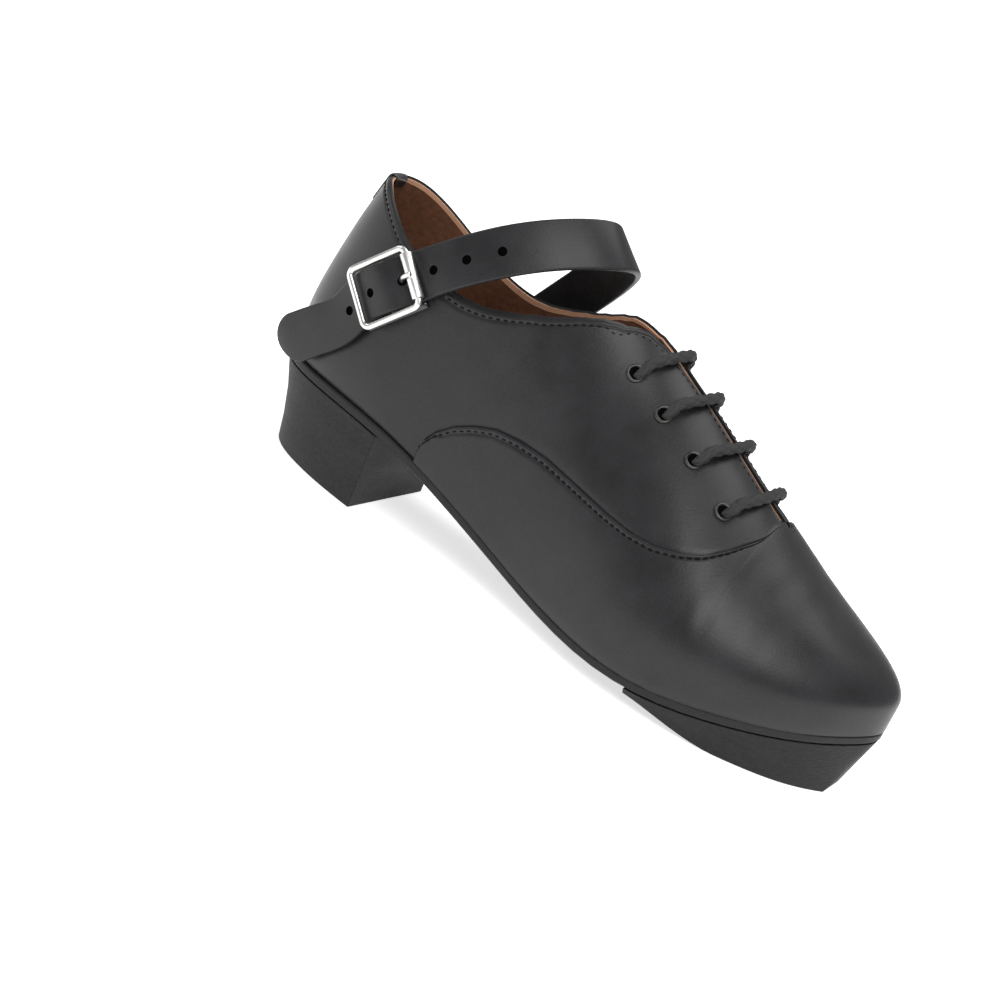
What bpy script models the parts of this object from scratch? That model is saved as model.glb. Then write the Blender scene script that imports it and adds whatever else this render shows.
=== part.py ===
"""Irish dance hard shoe, one right shoe, standing on its heel and toe block.

The upper, sole, insole, tongue, heel and toe block all come from one last. The last is a set of ribs: each rib
starts on the feather line (the edge where the upper meets the sole), bulges a little over the sole and closes on
the ridge of the instep. Lengths along the shoe are measured forward from the back of the heel.
World frame: toe towards -Y, medial side +X, lateral side -X, +Z up, floor at z = 0.
"""

import bpy
import bmesh
import numpy as np
from math import cos, pi, radians, sin
from mathutils import Matrix, Vector

# Driving sizes of the last, in metres
FOOT_LENGTH = 0.246
BALL_HALF_WIDTH = 0.040
HEEL_SEAT = 0.0343
TOE_SEAT = 0.0253
INSTEP_HEIGHT = 0.1025
COLLAR_BACK = 0.1022
THROAT_BASE = 0.186

# Leather and clearances
WALL = 0.0020
VAMP_STEP = 0.0010
SEAM_WIDTH = 0.0005
FACING_GAP = 0.0021
FIT = 0.0003

# Bottom
SOLE_THICKNESS = 0.0033
SOLE_EDGE = 0.0010
EDGE_CHAMFER = 0.0006
HEEL_LENGTH = 0.0530
HEEL_BACK_RAKE = 0.0087
HEEL_FOOT_LENGTH = 0.0463
BLOCK_START = 0.1735
BLOCK_FRONT = 0.2390
BLOCK_REAR_LIFT = 0.0040
BLOCK_FLAT_START = 0.2080
INSOLE_THICKNESS = 0.0024
INSOLE_GAP = 0.0026

# Tongue
TONGUE_THICKNESS = 0.0018
TONGUE_TOP = 0.1145
TONGUE_FOOT = 0.1900
TONGUE_HALF_WIDTH = 0.0170

# Strap, buckle, laces and eyelets
STRAP_WIDTH = 0.0172
STRAP_THICKNESS = 0.0022
STRAP_CORNER = 0.0005
STRAP_HOLE = 0.0016
STRAP_HOLE_PITCH = 0.0120
HOLE_AT_BUCKLE = 0.0066
BUCKLE_HALF_LENGTH = 0.0112
BUCKLE_HALF_WIDTH = 0.0103
BUCKLE_HEIGHT = 0.0063
BUCKLE_BAR = 0.0011
CENTRE_BAR = 0.0008
CENTRE_BAR_HEIGHT = 0.0039
ROLLER_RADIUS = 0.0017
ROLLER_HALF_WIDTH = 0.0080
TAB_THICKNESS = 0.0010
TAB_HALF_WIDTH = 0.0103
PRONG_RADIUS = 0.0007
LACE_RADIUS = 0.0020
EYELET_RADIUS = 0.0033
EYELET_HOLE = 0.0018
EYELET_BARREL = 0.0022
EYELET_SIDE = 0.0167

HEEL_Y = HEEL_BACK_RAKE + HEEL_FOOT_LENGTH / 2

# Columns: share of the foot length, lateral and medial half width as shares of BALL_HALF_WIDTH
OUTLINE = (
    (0.030, 0.40, 0.40),
    (0.100, 0.615, 0.615),
    (0.200, 0.675, 0.665),
    (0.320, 0.655, 0.590),
    (0.440, 0.680, 0.475),
    (0.550, 0.830, 0.555),
    (0.660, 1.000, 0.800),
    (0.750, 0.990, 0.955),
    (0.840, 0.800, 0.970),
    (0.920, 0.510, 0.830),
    (0.967, 0.170, 0.560),
)
TOE_POINT = (0.990, 0.20)

# Columns: share of the foot length, share of HEEL_SEAT, share of TOE_SEAT that add up to the feather height
FEATHER = (
    (0.00, 1.000, 0.000),
    (0.12, 0.968, 0.000),
    (0.24, 0.850, 0.018),
    (0.40, 0.470, 0.112),
    (0.53, 0.160, 0.245),
    (0.66, 0.030, 0.340),
    (0.76, 0.000, 0.455),
    (0.88, 0.000, 0.676),
    (1.00, 0.000, 1.000),
)

# Columns: share of the foot length, share of INSTEP_HEIGHT, sideways share of BALL_HALF_WIDTH
RIDGE = (
    (-0.036, 1.704, 0.000),
    (0.135, 1.645, 0.000),
    (0.287, 1.438, 0.000),
    (0.409, 1.181, 0.008),
    (0.491, 1.000, 0.016),
    (0.592, 0.869, 0.025),
    (0.693, 0.740, 0.045),
    (0.774, 0.637, 0.070),
    (0.855, 0.529, 0.090),
    (0.916, 0.447, 0.100),
)

# Columns: share of the foot length, overhang and height of the bulge and the fullness of the rib's lower and upper
# half; overhang and height are shares of BALL_HALF_WIDTH
FULLNESS = (
    (-0.03, 0.030, 0.400, 0.34, 0.42),
    (0.05, 0.045, 0.400, 0.38, 0.45),
    (0.12, 0.080, 0.400, 0.50, 0.51),
    (0.25, 0.063, 0.375, 0.62, 0.55),
    (0.42, 0.052, 0.352, 0.55, 0.50),
    (0.60, 0.070, 0.325, 0.50, 0.50),
    (0.75, 0.088, 0.325, 0.45, 0.43),
    (0.88, 0.060, 0.262, 0.44, 0.42),
    (1.00, -0.010, 0.238, 0.38, 0.42),
)
HEEL_POLE = 0.155
TOE_POLE = 0.835
POLE_SOFTNESS = 0.05
# Share of a rib's height that lies under its bulge
LOWER_SHARE = 0.16

# The collar from the back to the throat: share of the foot length, share of COLLAR_BACK
COLLAR = (
    (-0.02, 1.002),
    (0.015, 1.002),
    (0.039, 0.990),
    (0.062, 0.966),
    (0.089, 0.931),
    (0.138, 0.871),
    (0.196, 0.827),
    (0.228, 0.816),
    (0.261, 0.817),
    (0.297, 0.837),
    (0.339, 0.878),
    (0.374, 0.916),
    (0.406, 0.958),
    (0.430, 0.980),
    (0.450, 0.993),
    (0.500, 1.010),
)
# The lateral facing edge beside the ridge: share of the foot length, half gap as a multiple of FACING_GAP
FACING_LATERAL = (
    (0.440, 8.0),
    (0.463, 5.2),
    (0.482, 3.7),
    (0.498, 2.6),
    (0.520, 1.6),
    (0.550, 1.1),
    (0.600, 1.0),
    (0.800, 1.0),
)
# The medial facing edge, where the instep falls more steeply
FACING_MEDIAL = (
    (0.440, 5.1),
    (0.463, 4.1),
    (0.482, 3.1),
    (0.498, 2.3),
    (0.520, 1.5),
    (0.550, 1.1),
    (0.600, 1.0),
    (0.800, 1.0),
)
# The edge of the vamp from the sole to the throat: share of THROAT_BASE, share of INSTEP_HEIGHT
SEAM = (
    (0.3700, 0.270),
    (0.3765, 0.345),
    (0.3915, 0.394),
    (0.4170, 0.441),
    (0.4505, 0.478),
    (0.4900, 0.507),
    (0.5390, 0.517),
    (0.5955, 0.516),
    (0.6715, 0.500),
    (0.7485, 0.486),
    (0.8085, 0.482),
    (0.8595, 0.489),
    (0.9020, 0.509),
    (0.9370, 0.536),
    (0.9640, 0.576),
    (0.9850, 0.618),
    (0.9960, 0.652),
    (1.0000, 0.668),
)
# The four eyelets of a row: share of the foot length, distance from the ridge as a multiple of EYELET_SIDE
EYELETS = (
    (0.4935, 1.00),
    (0.5557, 1.07),
    (0.6230, 1.21),
    (0.6920, 1.34),
)
LACE_LEAD = 0.0065
LACE_LIFT = 0.0006
EYELET_RISE = 0.0011

# The buckle's middle on the lateral quarter: length along the shoe, height, and the slope of the strap there
BUCKLE_PLACE = (0.0367, 0.0744)
BUCKLE_SLOPE = radians(49.2)
# The strap's height over the quarter at the buckle's rear, centre and front bar
STRAP_AT_BARS = (0.0032, 0.0061, 0.0028)
# The prong's path from the centre bar through the strap to the roller: along the strap, height
PRONG_PATH = (
    (0.0020, 0.0031),
    (0.0044, 0.0029),
    (0.0058, 0.0036),
    (0.0066, 0.0050),
    (0.0078, 0.0072),
    (0.0100, 0.0090),
    (0.0124, 0.0090),
)

# The strap's middle line behind and ahead of the buckle. Columns: towards the lateral side, along and up as multiples
# of STRAP_RUN, then the direction of the strap's lower edge: along, towards the lateral side, up
STRAP_RUN = 0.050
STRAP_TAIL = (
    (0.480, 0.082, 0.722, 0.68, -0.20, -0.70),
    (0.515, 0.183, 0.805, 0.68, -0.10, -0.70),
    (0.555, 0.308, 0.928, 0.68, 0.05, -0.70),
    (0.602, 0.498, 1.132, 0.68, 0.15, -0.70),
)
STRAP_LEAD = (
    (0.640, 0.985, 1.775, 0.70, 0.20, -0.69),
    (0.570, 1.310, 2.080, 0.75, 0.12, -0.65),
    (0.360, 1.635, 2.315, 0.79, 0.05, -0.62),
    (0.060, 1.860, 2.410, 0.79, 0.00, -0.62),
    (-0.280, 1.790, 2.265, 0.79, -0.05, -0.62),
    (-0.520, 1.585, 1.970, 0.79, -0.08, -0.62),
    (-0.628, 1.360, 1.620, 0.80, -0.04, -0.60),
    (-0.650, 1.140, 1.260, 0.80, 0.00, -0.60),
    (-0.642, 0.900, 0.920, 0.80, 0.02, -0.60),
)

# Counts
COLUMNS = 38
SOLE_STATIONS = 44
ROUND_STEPS = 12
STRAP_STATIONS = 50


def spline(knots, values, at, closed=False):
    """Smooth curve through a row of values for each knot."""
    knots = np.asarray(knots, float)
    values = np.asarray(values, float)
    flat = values.ndim == 1
    if flat:
        values = values[:, None]
    count = len(knots)
    gap = np.diff(knots)
    slope = np.diff(values, axis=0) / gap[:, None]
    if closed:
        size = count - 1
        matrix = np.zeros((size, size))
        right = np.zeros((size, values.shape[1]))
        for i in range(size):
            before = gap[(i - 1) % size]
            matrix[i, (i - 1) % size] += before
            matrix[i, i] += 2 * (before + gap[i])
            matrix[i, (i + 1) % size] += gap[i]
            right[i] = 6 * (slope[i] - slope[(i - 1) % size])
        bend = np.linalg.solve(matrix, right)
        bend = np.vstack([bend, bend[:1]])
    else:
        matrix = np.eye(count)
        right = np.zeros((count, values.shape[1]))
        for i in range(1, count - 1):
            matrix[i, i - 1] = gap[i - 1]
            matrix[i, i] = 2 * (gap[i - 1] + gap[i])
            matrix[i, i + 1] = gap[i]
            right[i] = 6 * (slope[i] - slope[i - 1])
        bend = np.linalg.solve(matrix, right)
    at = np.atleast_1d(np.asarray(at, float))
    k = np.clip(np.searchsorted(knots, at, side="right") - 1, 0, count - 2)
    before = (knots[k + 1] - at)[:, None]
    after = (at - knots[k])[:, None]
    step = gap[k][:, None]
    result = (bend[k] * before**3 + bend[k + 1] * after**3) / (6 * step)
    result += (values[k] / step - bend[k] * step / 6) * before
    result += (values[k + 1] / step - bend[k + 1] * step / 6) * after
    return result[:, 0] if flat else result


def columns(table, *scales):
    """A table as an array, each column in metres."""
    return np.array(table) * np.array(scales)


def outline_knots():
    """The feather line's points from the back by the lateral side to the toe and back, with their knots."""
    lateral = [(a * FOOT_LENGTH, -w * BALL_HALF_WIDTH) for a, w, _ in OUTLINE]
    medial = [(a * FOOT_LENGTH, w * BALL_HALF_WIDTH) for a, _, w in OUTLINE]
    toe = (TOE_POINT[0] * FOOT_LENGTH, TOE_POINT[1] * BALL_HALF_WIDTH)
    points = np.array([(0.0, 0.0)] + lateral + [toe] + medial[::-1] + [(0.0, 0.0)])
    chords = np.hypot(*np.diff(points, axis=0).T) ** 0.8
    knots = np.concatenate([[0.0], np.cumsum(chords)])
    return points, knots / knots[-1], len(OUTLINE) + 1


OUTLINE_POINTS, OUTLINE_KNOTS, TOE_INDEX = outline_knots()


def feather_line(turn):
    """(along, side) on the feather line for a turn of 0 to 1."""
    return spline(OUTLINE_KNOTS, OUTLINE_POINTS, np.asarray(turn) % 1.0, closed=True)


def feather_height(along):
    """Height of the feather line."""
    table = np.array(FEATHER)
    rise = table[:, 1] * HEEL_SEAT + table[:, 2] * TOE_SEAT
    return spline(table[:, 0] * FOOT_LENGTH, rise, along)


def ridge(along):
    """(height, side) of the ridge over the instep."""
    table = columns(RIDGE, FOOT_LENGTH, INSTEP_HEIGHT, BALL_HALF_WIDTH)
    return spline(table[:, 0], table[:, 1:], along)


# The turns of the back and the toe, and tables to find the turn on either side for a length along the shoe
def side_tables():
    """Dense (along, turn) tables of the lateral and the medial half, each rising."""
    turns = np.linspace(0, 1, 6001)
    along = feather_line(turns)[:, 0]
    toe = int(np.argmax(along))
    back = int(np.argmin(np.where(turns < 0.5, along, 1.0)))
    lateral = (along[back:toe + 1], turns[back:toe + 1])
    medial = (along[toe:][::-1], turns[toe:][::-1])
    return lateral, medial


LATERAL_TABLE, MEDIAL_TABLE = side_tables()
BACK_ALONG = float(LATERAL_TABLE[0][0])
TOE_ALONG = float(LATERAL_TABLE[0][-1])


def turn_at(along, medial):
    """The outline's turn on one side at a length along the shoe."""
    table = MEDIAL_TABLE if medial else LATERAL_TABLE
    return np.interp(along, table[0], table[1])


def soft_limit(value, low, high, softness):
    """Value held between two limits by soft bends."""
    def bend(x):
        return softness * np.log1p(np.exp(np.clip(x / softness, -60, 60)))
    return low + bend(value - low) - bend(value - high)


def rib_frames(turns):
    """The Bezier points of the ribs at some turns of the outline."""
    turns = np.atleast_1d(turns)
    foot = feather_line(turns)
    step = 1e-4
    tangent = feather_line(turns + step) - feather_line(turns - step)
    tangent /= np.linalg.norm(tangent, axis=1)[:, None]
    outward = np.stack([tangent[:, 1], -tangent[:, 0]], 1)
    along = foot[:, 0]
    table = columns(FULLNESS, FOOT_LENGTH, BALL_HALF_WIDTH, BALL_HALF_WIDTH, 1, 1)
    full = spline(table[:, 0], table[:, 1:], along)
    base = feather_height(along)
    out = outward * full[:, :1]
    start = np.column_stack([foot, base])
    bulge = np.column_stack([foot + out, base + full[:, 1]])
    share = soft_limit(along / FOOT_LENGTH, HEEL_POLE, TOE_POLE, POLE_SOFTNESS)
    top_along = share * FOOT_LENGTH
    crest = ridge(top_along)
    top = np.column_stack([top_along, crest[:, 1], crest[:, 0]])
    fall = (ridge(top_along + step)[:, 0] - ridge(top_along - step)[:, 0]) / (2 * step)
    spread = bulge[:, :2] - top[:, :2]
    reach = np.linalg.norm(spread, axis=1)
    spread /= reach[:, None]
    lean = np.column_stack([foot + out * 0.9, base + full[:, 1] * 0.25])
    rise = np.column_stack([0 * reach, 0 * reach, full[:, 2] * (top[:, 2] - bulge[:, 2])])
    shoulder = np.column_stack([spread, fall * spread[:, 0]]) * (full[:, 3] * reach)[:, None]
    return start, lean, bulge, bulge + rise, top + shoulder, top


def rib_points(turns, heights):
    """Points (along, side, up) of the last; heights run from 0 at the feather line to 1 on the ridge."""
    start, lean, bulge, rise, shoulder, top = [p[:, None, :] for p in rib_frames(turns)]
    v = np.asarray(heights, float)
    if v.ndim == 1:
        v = np.broadcast_to(v, (start.shape[0], v.size))
    a = np.clip(v / LOWER_SHARE, 0, 1)[..., None]
    b = np.clip((v - LOWER_SHARE) / (1 - LOWER_SHARE), 0, 1)[..., None]
    low = (1 - a) ** 2 * start + 2 * a * (1 - a) * lean + a**2 * bulge
    high = (1 - b) ** 3 * bulge + 3 * b * (1 - b) ** 2 * rise + 3 * b**2 * (1 - b) * shoulder + b**3 * top
    return np.where(v[..., None] < LOWER_SHARE, low, high)


def rib_normals(turns, heights):
    """Outward unit normals of the last at the points of rib_points."""
    step = 2e-4
    turns = np.atleast_1d(turns)
    v = np.asarray(heights, float)
    if v.ndim == 1:
        v = np.broadcast_to(v, (turns.size, v.size))
    around = rib_points(turns + step, v) - rib_points(turns - step, v)
    up = rib_points(turns, np.clip(v + step, 0, 1)) - rib_points(turns, np.clip(v - step, 0, 1))
    normal = np.cross(around, up)
    return normal / np.maximum(np.linalg.norm(normal, axis=2), 1e-12)[..., None]


def world(points):
    """World coordinates of (along, side, up) points."""
    points = np.asarray(points, float)
    return np.stack([points[..., 1], HEEL_Y - points[..., 0], points[..., 2]], -1)


def collar_height(along):
    """Height of the collar's edge."""
    table = columns(COLLAR, FOOT_LENGTH, COLLAR_BACK)
    return spline(table[:, 0], table[:, 1], np.clip(along, table[0, 0], table[-1, 0]))


def facing_gap(along, medial):
    """Half the gap between the facings, on one side of the ridge."""
    table = columns(FACING_MEDIAL if medial else FACING_LATERAL, FOOT_LENGTH, FACING_GAP)
    return np.interp(along, table[:, 0], table[:, 1])


def seam_height(along):
    """Height of the vamp's edge; it falls steeply at the back end of the wing."""
    table = columns(SEAM, THROAT_BASE, INSTEP_HEIGHT)
    return np.interp(along, table[:, 0], table[:, 1])


def first_crossing(value, heights):
    """Where a rising value passes zero along each rib, or 1 where it never does."""
    result = np.ones(value.shape[0])
    for i, row in enumerate(value):
        hits = np.nonzero(row > 0)[0]
        if hits.size and hits[0] > 0:
            k = hits[0]
            result[i] = heights[k - 1] + (heights[k] - heights[k - 1]) * row[k - 1] / (row[k - 1] - row[k])
        elif hits.size:
            result[i] = heights[0]
    return result


def upper_edges(turns):
    """For each rib the height of its top edge, the height of the vamp's seam, and whether the rib's top is vamp."""
    heights = np.linspace(0, 1, 401)
    points = rib_points(turns, heights)
    along, side, up = points[..., 0], points[..., 1], points[..., 2]
    crest = ridge(np.ravel(along))[:, 1].reshape(along.shape)
    over_collar = np.where(along < 0.5 * FOOT_LENGTH, up - collar_height(np.ravel(along)).reshape(along.shape), -1.0)
    beside = (along > FACING_LATERAL[0][0] * FOOT_LENGTH) & (along < THROAT_BASE)
    gap = np.where(side > crest, facing_gap(along, True), facing_gap(along, False))
    in_gap = np.where(beside, gap - np.abs(side - crest), -1.0)
    top = first_crossing(np.maximum(over_collar, in_gap), heights)
    over_seam = up - seam_height(np.ravel(along)).reshape(along.shape)
    seam = first_crossing(over_seam, heights)
    foot = feather_line(turns)[:, 0]
    wing_start = SEAM[0][0] * THROAT_BASE
    behind = foot < wing_start
    seam = np.where(behind, 0.08 + 0.34 * (1 - foot / wing_start), seam)
    ahead = (foot > THROAT_BASE) | (seam > top - 0.03)
    toe_share = np.clip((foot - THROAT_BASE) / (TOE_ALONG - THROAT_BASE), 0, 1)
    seam = np.where(ahead, (top - 0.03) * (1 - 0.45 * toe_share), seam)
    return top, seam, behind, ahead


def new_object(name, mesh, material, collection):
    """A named object with one material in a collection."""
    item = bpy.data.objects.new(name, mesh)
    mesh.materials.clear()
    mesh.materials.append(material)
    collection.objects.link(item)
    return item


def mesh_from(name, bm):
    """A mesh from a bmesh, with its faces turned outwards."""
    bmesh.ops.recalc_face_normals(bm, faces=bm.faces)
    mesh = bpy.data.meshes.new(name)
    bm.to_mesh(mesh)
    bm.free()
    return mesh


def smooth(item, angle=35):
    """Smooth shading with sharp edges past an angle."""
    item.data.shade_smooth()
    item.data.set_sharp_from_angle(angle=radians(angle))


def finish(name, colour, roughness, metallic=0.0, coat=0.0):
    """A Principled material."""
    material = bpy.data.materials.new(name)
    material.use_nodes = True
    shader = material.node_tree.nodes["Principled BSDF"]
    shader.inputs["Base Color"].default_value = (*colour, 1.0)
    shader.inputs["Roughness"].default_value = roughness
    shader.inputs["Metallic"].default_value = metallic
    shader.inputs["Coat Weight"].default_value = coat
    return material


def evaluated(item, name):
    """The object's mesh with its modifiers applied."""
    depsgraph = bpy.context.evaluated_depsgraph_get()
    depsgraph.update()
    mesh = bpy.data.meshes.new_from_object(item.evaluated_get(depsgraph), depsgraph=depsgraph)
    mesh.name = name
    return mesh


def rib_stations():
    """Lengths along the shoe of the ribs: even on the outline, with more where the wing and the throat end."""
    turns = np.linspace(LATERAL_TABLE[1][0], LATERAL_TABLE[1][-1], COLUMNS + 1)
    even = np.interp(turns, LATERAL_TABLE[1], LATERAL_TABLE[0])
    wing = np.array([row[0] for row in SEAM[:5]]) * THROAT_BASE
    throat = np.array([row[0] for row in SEAM[-4:]]) * THROAT_BASE
    extra = np.concatenate([wing[:1] - 0.0012, wing + 0.0001, throat - 0.0002, [THROAT_BASE + 0.0012]])
    kept = [a for a in even[1:-1] if np.abs(extra - a).min() > 0.0016]
    return np.array(sorted([*kept, *extra, even[0], even[-1]]))


def add_upper(material, collection):
    """The upper: the last's surface up to the collar and the facings, with its wall inwards and the vamp raised."""
    stations = rib_stations()
    turns = np.concatenate([turn_at(stations, False), turn_at(stations[1:-1], True)[::-1]])
    top, seam, behind, ahead = upper_edges(turns)
    below = np.array([0, 0.10, 0.24, 0.42, 0.62, 0.82, 1.0])
    above = np.array([0, 0.18, 0.37, 0.56, 0.74, 0.88, 1.0])
    length = np.linalg.norm(rib_points(turns, np.array([0.0, 0.5]))[:, 1] - rib_points(turns, np.array([0.0]))[:, 0],
                            axis=1) * 2
    step = SEAM_WIDTH / length
    low = seam[:, None] * below
    high = (seam + step)[:, None] + (top - seam - step)[:, None] * above
    heights = np.hstack([low, high])
    points = rib_points(turns, heights)
    count, rows = heights.shape
    raised = np.zeros((count, rows), bool)
    raised[:, :below.size] = ~behind[:, None]
    raised[:, below.size:] = ahead[:, None]

    bm = bmesh.new()
    lift = bm.verts.layers.float.new("lift")
    grid = [[bm.verts.new(p) for p in column] for column in world(points)]
    for i in range(count):
        j = (i + 1) % count
        for k in range(rows - 1):
            bm.faces.new((grid[i][k], grid[j][k], grid[j][k + 1], grid[i][k + 1]))
    for i in range(count):
        for k in range(rows):
            grid[i][k][lift] = float(raised[i][k])
    crown = [column[-1] for column in grid]
    bmesh.ops.remove_doubles(bm, verts=crown, dist=0.0006)
    bmesh.ops.dissolve_degenerate(bm, dist=1e-6, edges=bm.edges)
    bmesh.ops.recalc_face_normals(bm, faces=bm.faces)
    lowest = min(bm.faces, key=lambda f: f.calc_center_median().y)
    if lowest.normal.y > 0:
        bmesh.ops.reverse_faces(bm, faces=bm.faces)
    bmesh.ops.triangulate(bm, faces=bm.faces)
    shell = bpy.data.meshes.new("upper_shell")
    bm.to_mesh(shell)
    bm.free()
    item = new_object("upper", shell, material, collection)
    wall = item.modifiers.new("wall", "SOLIDIFY")
    wall.thickness = WALL
    wall.offset = -1
    wall.use_even_offset = False
    wall.use_rim = True
    outer_count = len(shell.vertices)
    normals = [v.normal.copy() for v in shell.vertices]
    raise_by = [shell.attributes["lift"].data[i].value for i in range(outer_count)]
    solid = evaluated(item, "upper")
    item.modifiers.clear()
    item.data = solid
    for i in range(outer_count):
        solid.vertices[i].co += normals[i] * (VAMP_STEP * raise_by[i])
    smooth(item)
    return item


def edge_ring(stations, offset, heights, close_end):
    """Lateral and medial points of an outline moved outwards by an offset, at some lengths along the shoe."""
    pairs = []
    for medial in (False, True):
        turns = turn_at(stations, medial)
        foot = feather_line(turns)
        tangent = feather_line(turns + 1e-4) - feather_line(turns - 1e-4)
        tangent /= np.linalg.norm(tangent, axis=1)[:, None]
        outward = np.stack([tangent[:, 1], -tangent[:, 0]], 1)
        ring = foot + outward * np.asarray(offset).reshape(-1, 1)
        pairs.append(ring)
    lateral, medial = pairs
    if close_end[0]:
        lateral[0] = medial[0] = (lateral[0] + medial[0]) / 2
    if close_end[1]:
        lateral[-1] = medial[-1] = (lateral[-1] + medial[-1]) / 2
    along = (lateral[:, 0] + medial[:, 0]) / 2
    up = heights(along)
    lateral = np.column_stack([lateral, heights(lateral[:, 0]) if callable(heights) else up])
    medial = np.column_stack([medial, heights(medial[:, 0]) if callable(heights) else up])
    return np.stack([lateral, medial], 1)


def add_slab(name, rings, material, collection):
    """A closed solid between rings from top to bottom; each ring is a ladder of lateral and medial points."""
    bm = bmesh.new()
    levels = [[[bm.verts.new(p) for p in pair] for pair in world(ring)] for ring in rings]
    count = len(levels[0])

    def face(*verts):
        bm.faces.new(verts)

    for i in range(count - 1):
        top = levels[0]
        face(top[i][0], top[i + 1][0], top[i + 1][1], top[i][1])
        base = levels[-1]
        face(base[i][0], base[i][1], base[i + 1][1], base[i + 1][0])
    for upper_ring, lower_ring in zip(levels, levels[1:]):
        for i in range(count - 1):
            for side in (0, 1):
                face(upper_ring[i][side], upper_ring[i + 1][side], lower_ring[i + 1][side], lower_ring[i][side])
        for i in (0, count - 1):
            face(upper_ring[i][0], upper_ring[i][1], lower_ring[i][1], lower_ring[i][0])
    bmesh.ops.remove_doubles(bm, verts=bm.verts, dist=1e-5)
    bmesh.ops.dissolve_degenerate(bm, dist=1e-6, edges=bm.edges)
    bmesh.ops.triangulate(bm, faces=bm.faces)
    item = new_object(name, mesh_from(name, bm), material, collection)
    smooth(item)
    return item


def ladder_stations(start, end, count, round_start, round_end):
    """Lengths along the shoe that crowd together at a rounded end."""
    t = np.linspace(0, 1, count)
    if round_start and round_end:
        t = (1 - np.cos(pi * t)) / 2
    elif round_end:
        t = np.sin(pi / 2 * t)
    elif round_start:
        t = 1 - np.cos(pi / 2 * t)
    return start + (end - start) * t


def sole_top(along):
    """Height of the outsole's upper face."""
    return feather_height(along) - FIT


def sole_base(along):
    """Height of the outsole's lower face."""
    return sole_top(along) - SOLE_THICKNESS


def add_outsole(material, collection):
    """The outsole: the true outline with a narrow edge, the arch and the toe spring."""
    stations = ladder_stations(BACK_ALONG, TOE_ALONG, SOLE_STATIONS, True, True)
    ends = (True, True)
    rings = [
        edge_ring(stations, SOLE_EDGE - EDGE_CHAMFER, sole_top, ends),
        edge_ring(stations, SOLE_EDGE, lambda a: sole_top(a) - EDGE_CHAMFER, ends),
        edge_ring(stations, SOLE_EDGE, lambda a: sole_base(a) + EDGE_CHAMFER, ends),
        edge_ring(stations, SOLE_EDGE - EDGE_CHAMFER, sole_base, ends),
    ]
    return add_slab("outsole", rings, material, collection)


def add_insole(material, collection):
    """The footbed on the sole, inside the wall."""
    stations = ladder_stations(BACK_ALONG, TOE_ALONG, SOLE_STATIONS - 8, True, True)
    ends = (True, True)
    rings = [
        edge_ring(stations, -INSOLE_GAP, lambda a: feather_height(a) + INSOLE_THICKNESS, ends),
        edge_ring(stations, -INSOLE_GAP, feather_height, ends),
    ]
    return add_slab("insole", rings, material, collection)


def add_heel(material, collection):
    """The heel: its back rakes in towards the floor and its breast is square."""
    stations = ladder_stations(BACK_ALONG, HEEL_LENGTH, 18, True, False)

    def seat(along):
        return sole_base(along) - FIT

    ends = (True, False)
    top = edge_ring(stations, SOLE_EDGE - FIT, seat, ends)
    shrink = HEEL_FOOT_LENGTH / HEEL_LENGTH
    foot = top.copy()
    foot[..., 0] = HEEL_BACK_RAKE + (top[..., 0] - BACK_ALONG) * shrink
    narrow = 0.70 + 0.30 * np.clip(top[..., 0] / HEEL_LENGTH, 0, 1)
    foot[..., 1] = top[..., 1] * narrow
    foot[..., 2] = 0
    rings = [top]
    for share, bow in ((0.35, 0.0012), (0.7, 0.0010)):
        ring = top * (1 - share) + foot * share
        back = np.clip(1 - top[..., 0] / HEEL_LENGTH, 0, 1)
        ring[..., 0] += bow * back
        rings.append(ring)
    edge = foot.copy()
    edge[..., 2] = EDGE_CHAMFER
    inner = foot.copy()
    inner[..., 1] *= 1 - EDGE_CHAMFER / BALL_HALF_WIDTH
    inner[..., 0] += EDGE_CHAMFER * np.clip(1 - top[..., 0] / HEEL_LENGTH, 0, 1)
    rings += [edge, inner]
    return add_slab("heel_block", rings, material, collection)


def block_floor(along):
    """Height of the toe block's underside: flat in front, a little lifted at its rear edge."""
    share = np.clip((BLOCK_FLAT_START - along) / (BLOCK_FLAT_START - BLOCK_START), 0, 1)
    return BLOCK_REAR_LIFT * share * share * (3 - 2 * share) * 0.999


def add_toe_block(material, collection):
    """The toe block: a wedge under the forefoot, thin at its rear edge, with a narrow flat front below."""
    stations = ladder_stations(BLOCK_START, TOE_ALONG, 24, False, True)

    def seat(along):
        return sole_base(along) - FIT

    top = edge_ring(stations, SOLE_EDGE - FIT, seat, (False, True))
    share = (stations - BLOCK_START) / (TOE_ALONG - BLOCK_START)
    below = BLOCK_START + share * (BLOCK_FRONT - BLOCK_START)
    inset_lateral = np.interp(share, (0, 0.5, 0.8, 1), (0.0024, 0.0020, 0.0026, 0.0030))
    inset_medial = np.interp(share, (0, 0.5, 0.8, 1), (0.0024, 0.0032, 0.0050, 0.0085))
    base = np.zeros_like(top)
    for side, (medial, inset) in enumerate(((False, inset_lateral), (True, inset_medial))):
        foot = feather_line(turn_at(below, medial))
        sign = 1 if medial else -1
        base[:, side, 0] = below
        base[:, side, 1] = foot[:, 1] - sign * (inset - SOLE_EDGE)
        base[:, side, 2] = block_floor(below)
    edge = base.copy()
    edge[..., 2] += EDGE_CHAMFER
    edge[..., 1] += np.where(np.arange(2)[None, :] == 1, 1, -1) * EDGE_CHAMFER / 2
    waist = top * 0.5 + edge * 0.5
    return add_slab("toe_block", [top, waist, edge, base], material, collection)


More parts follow.
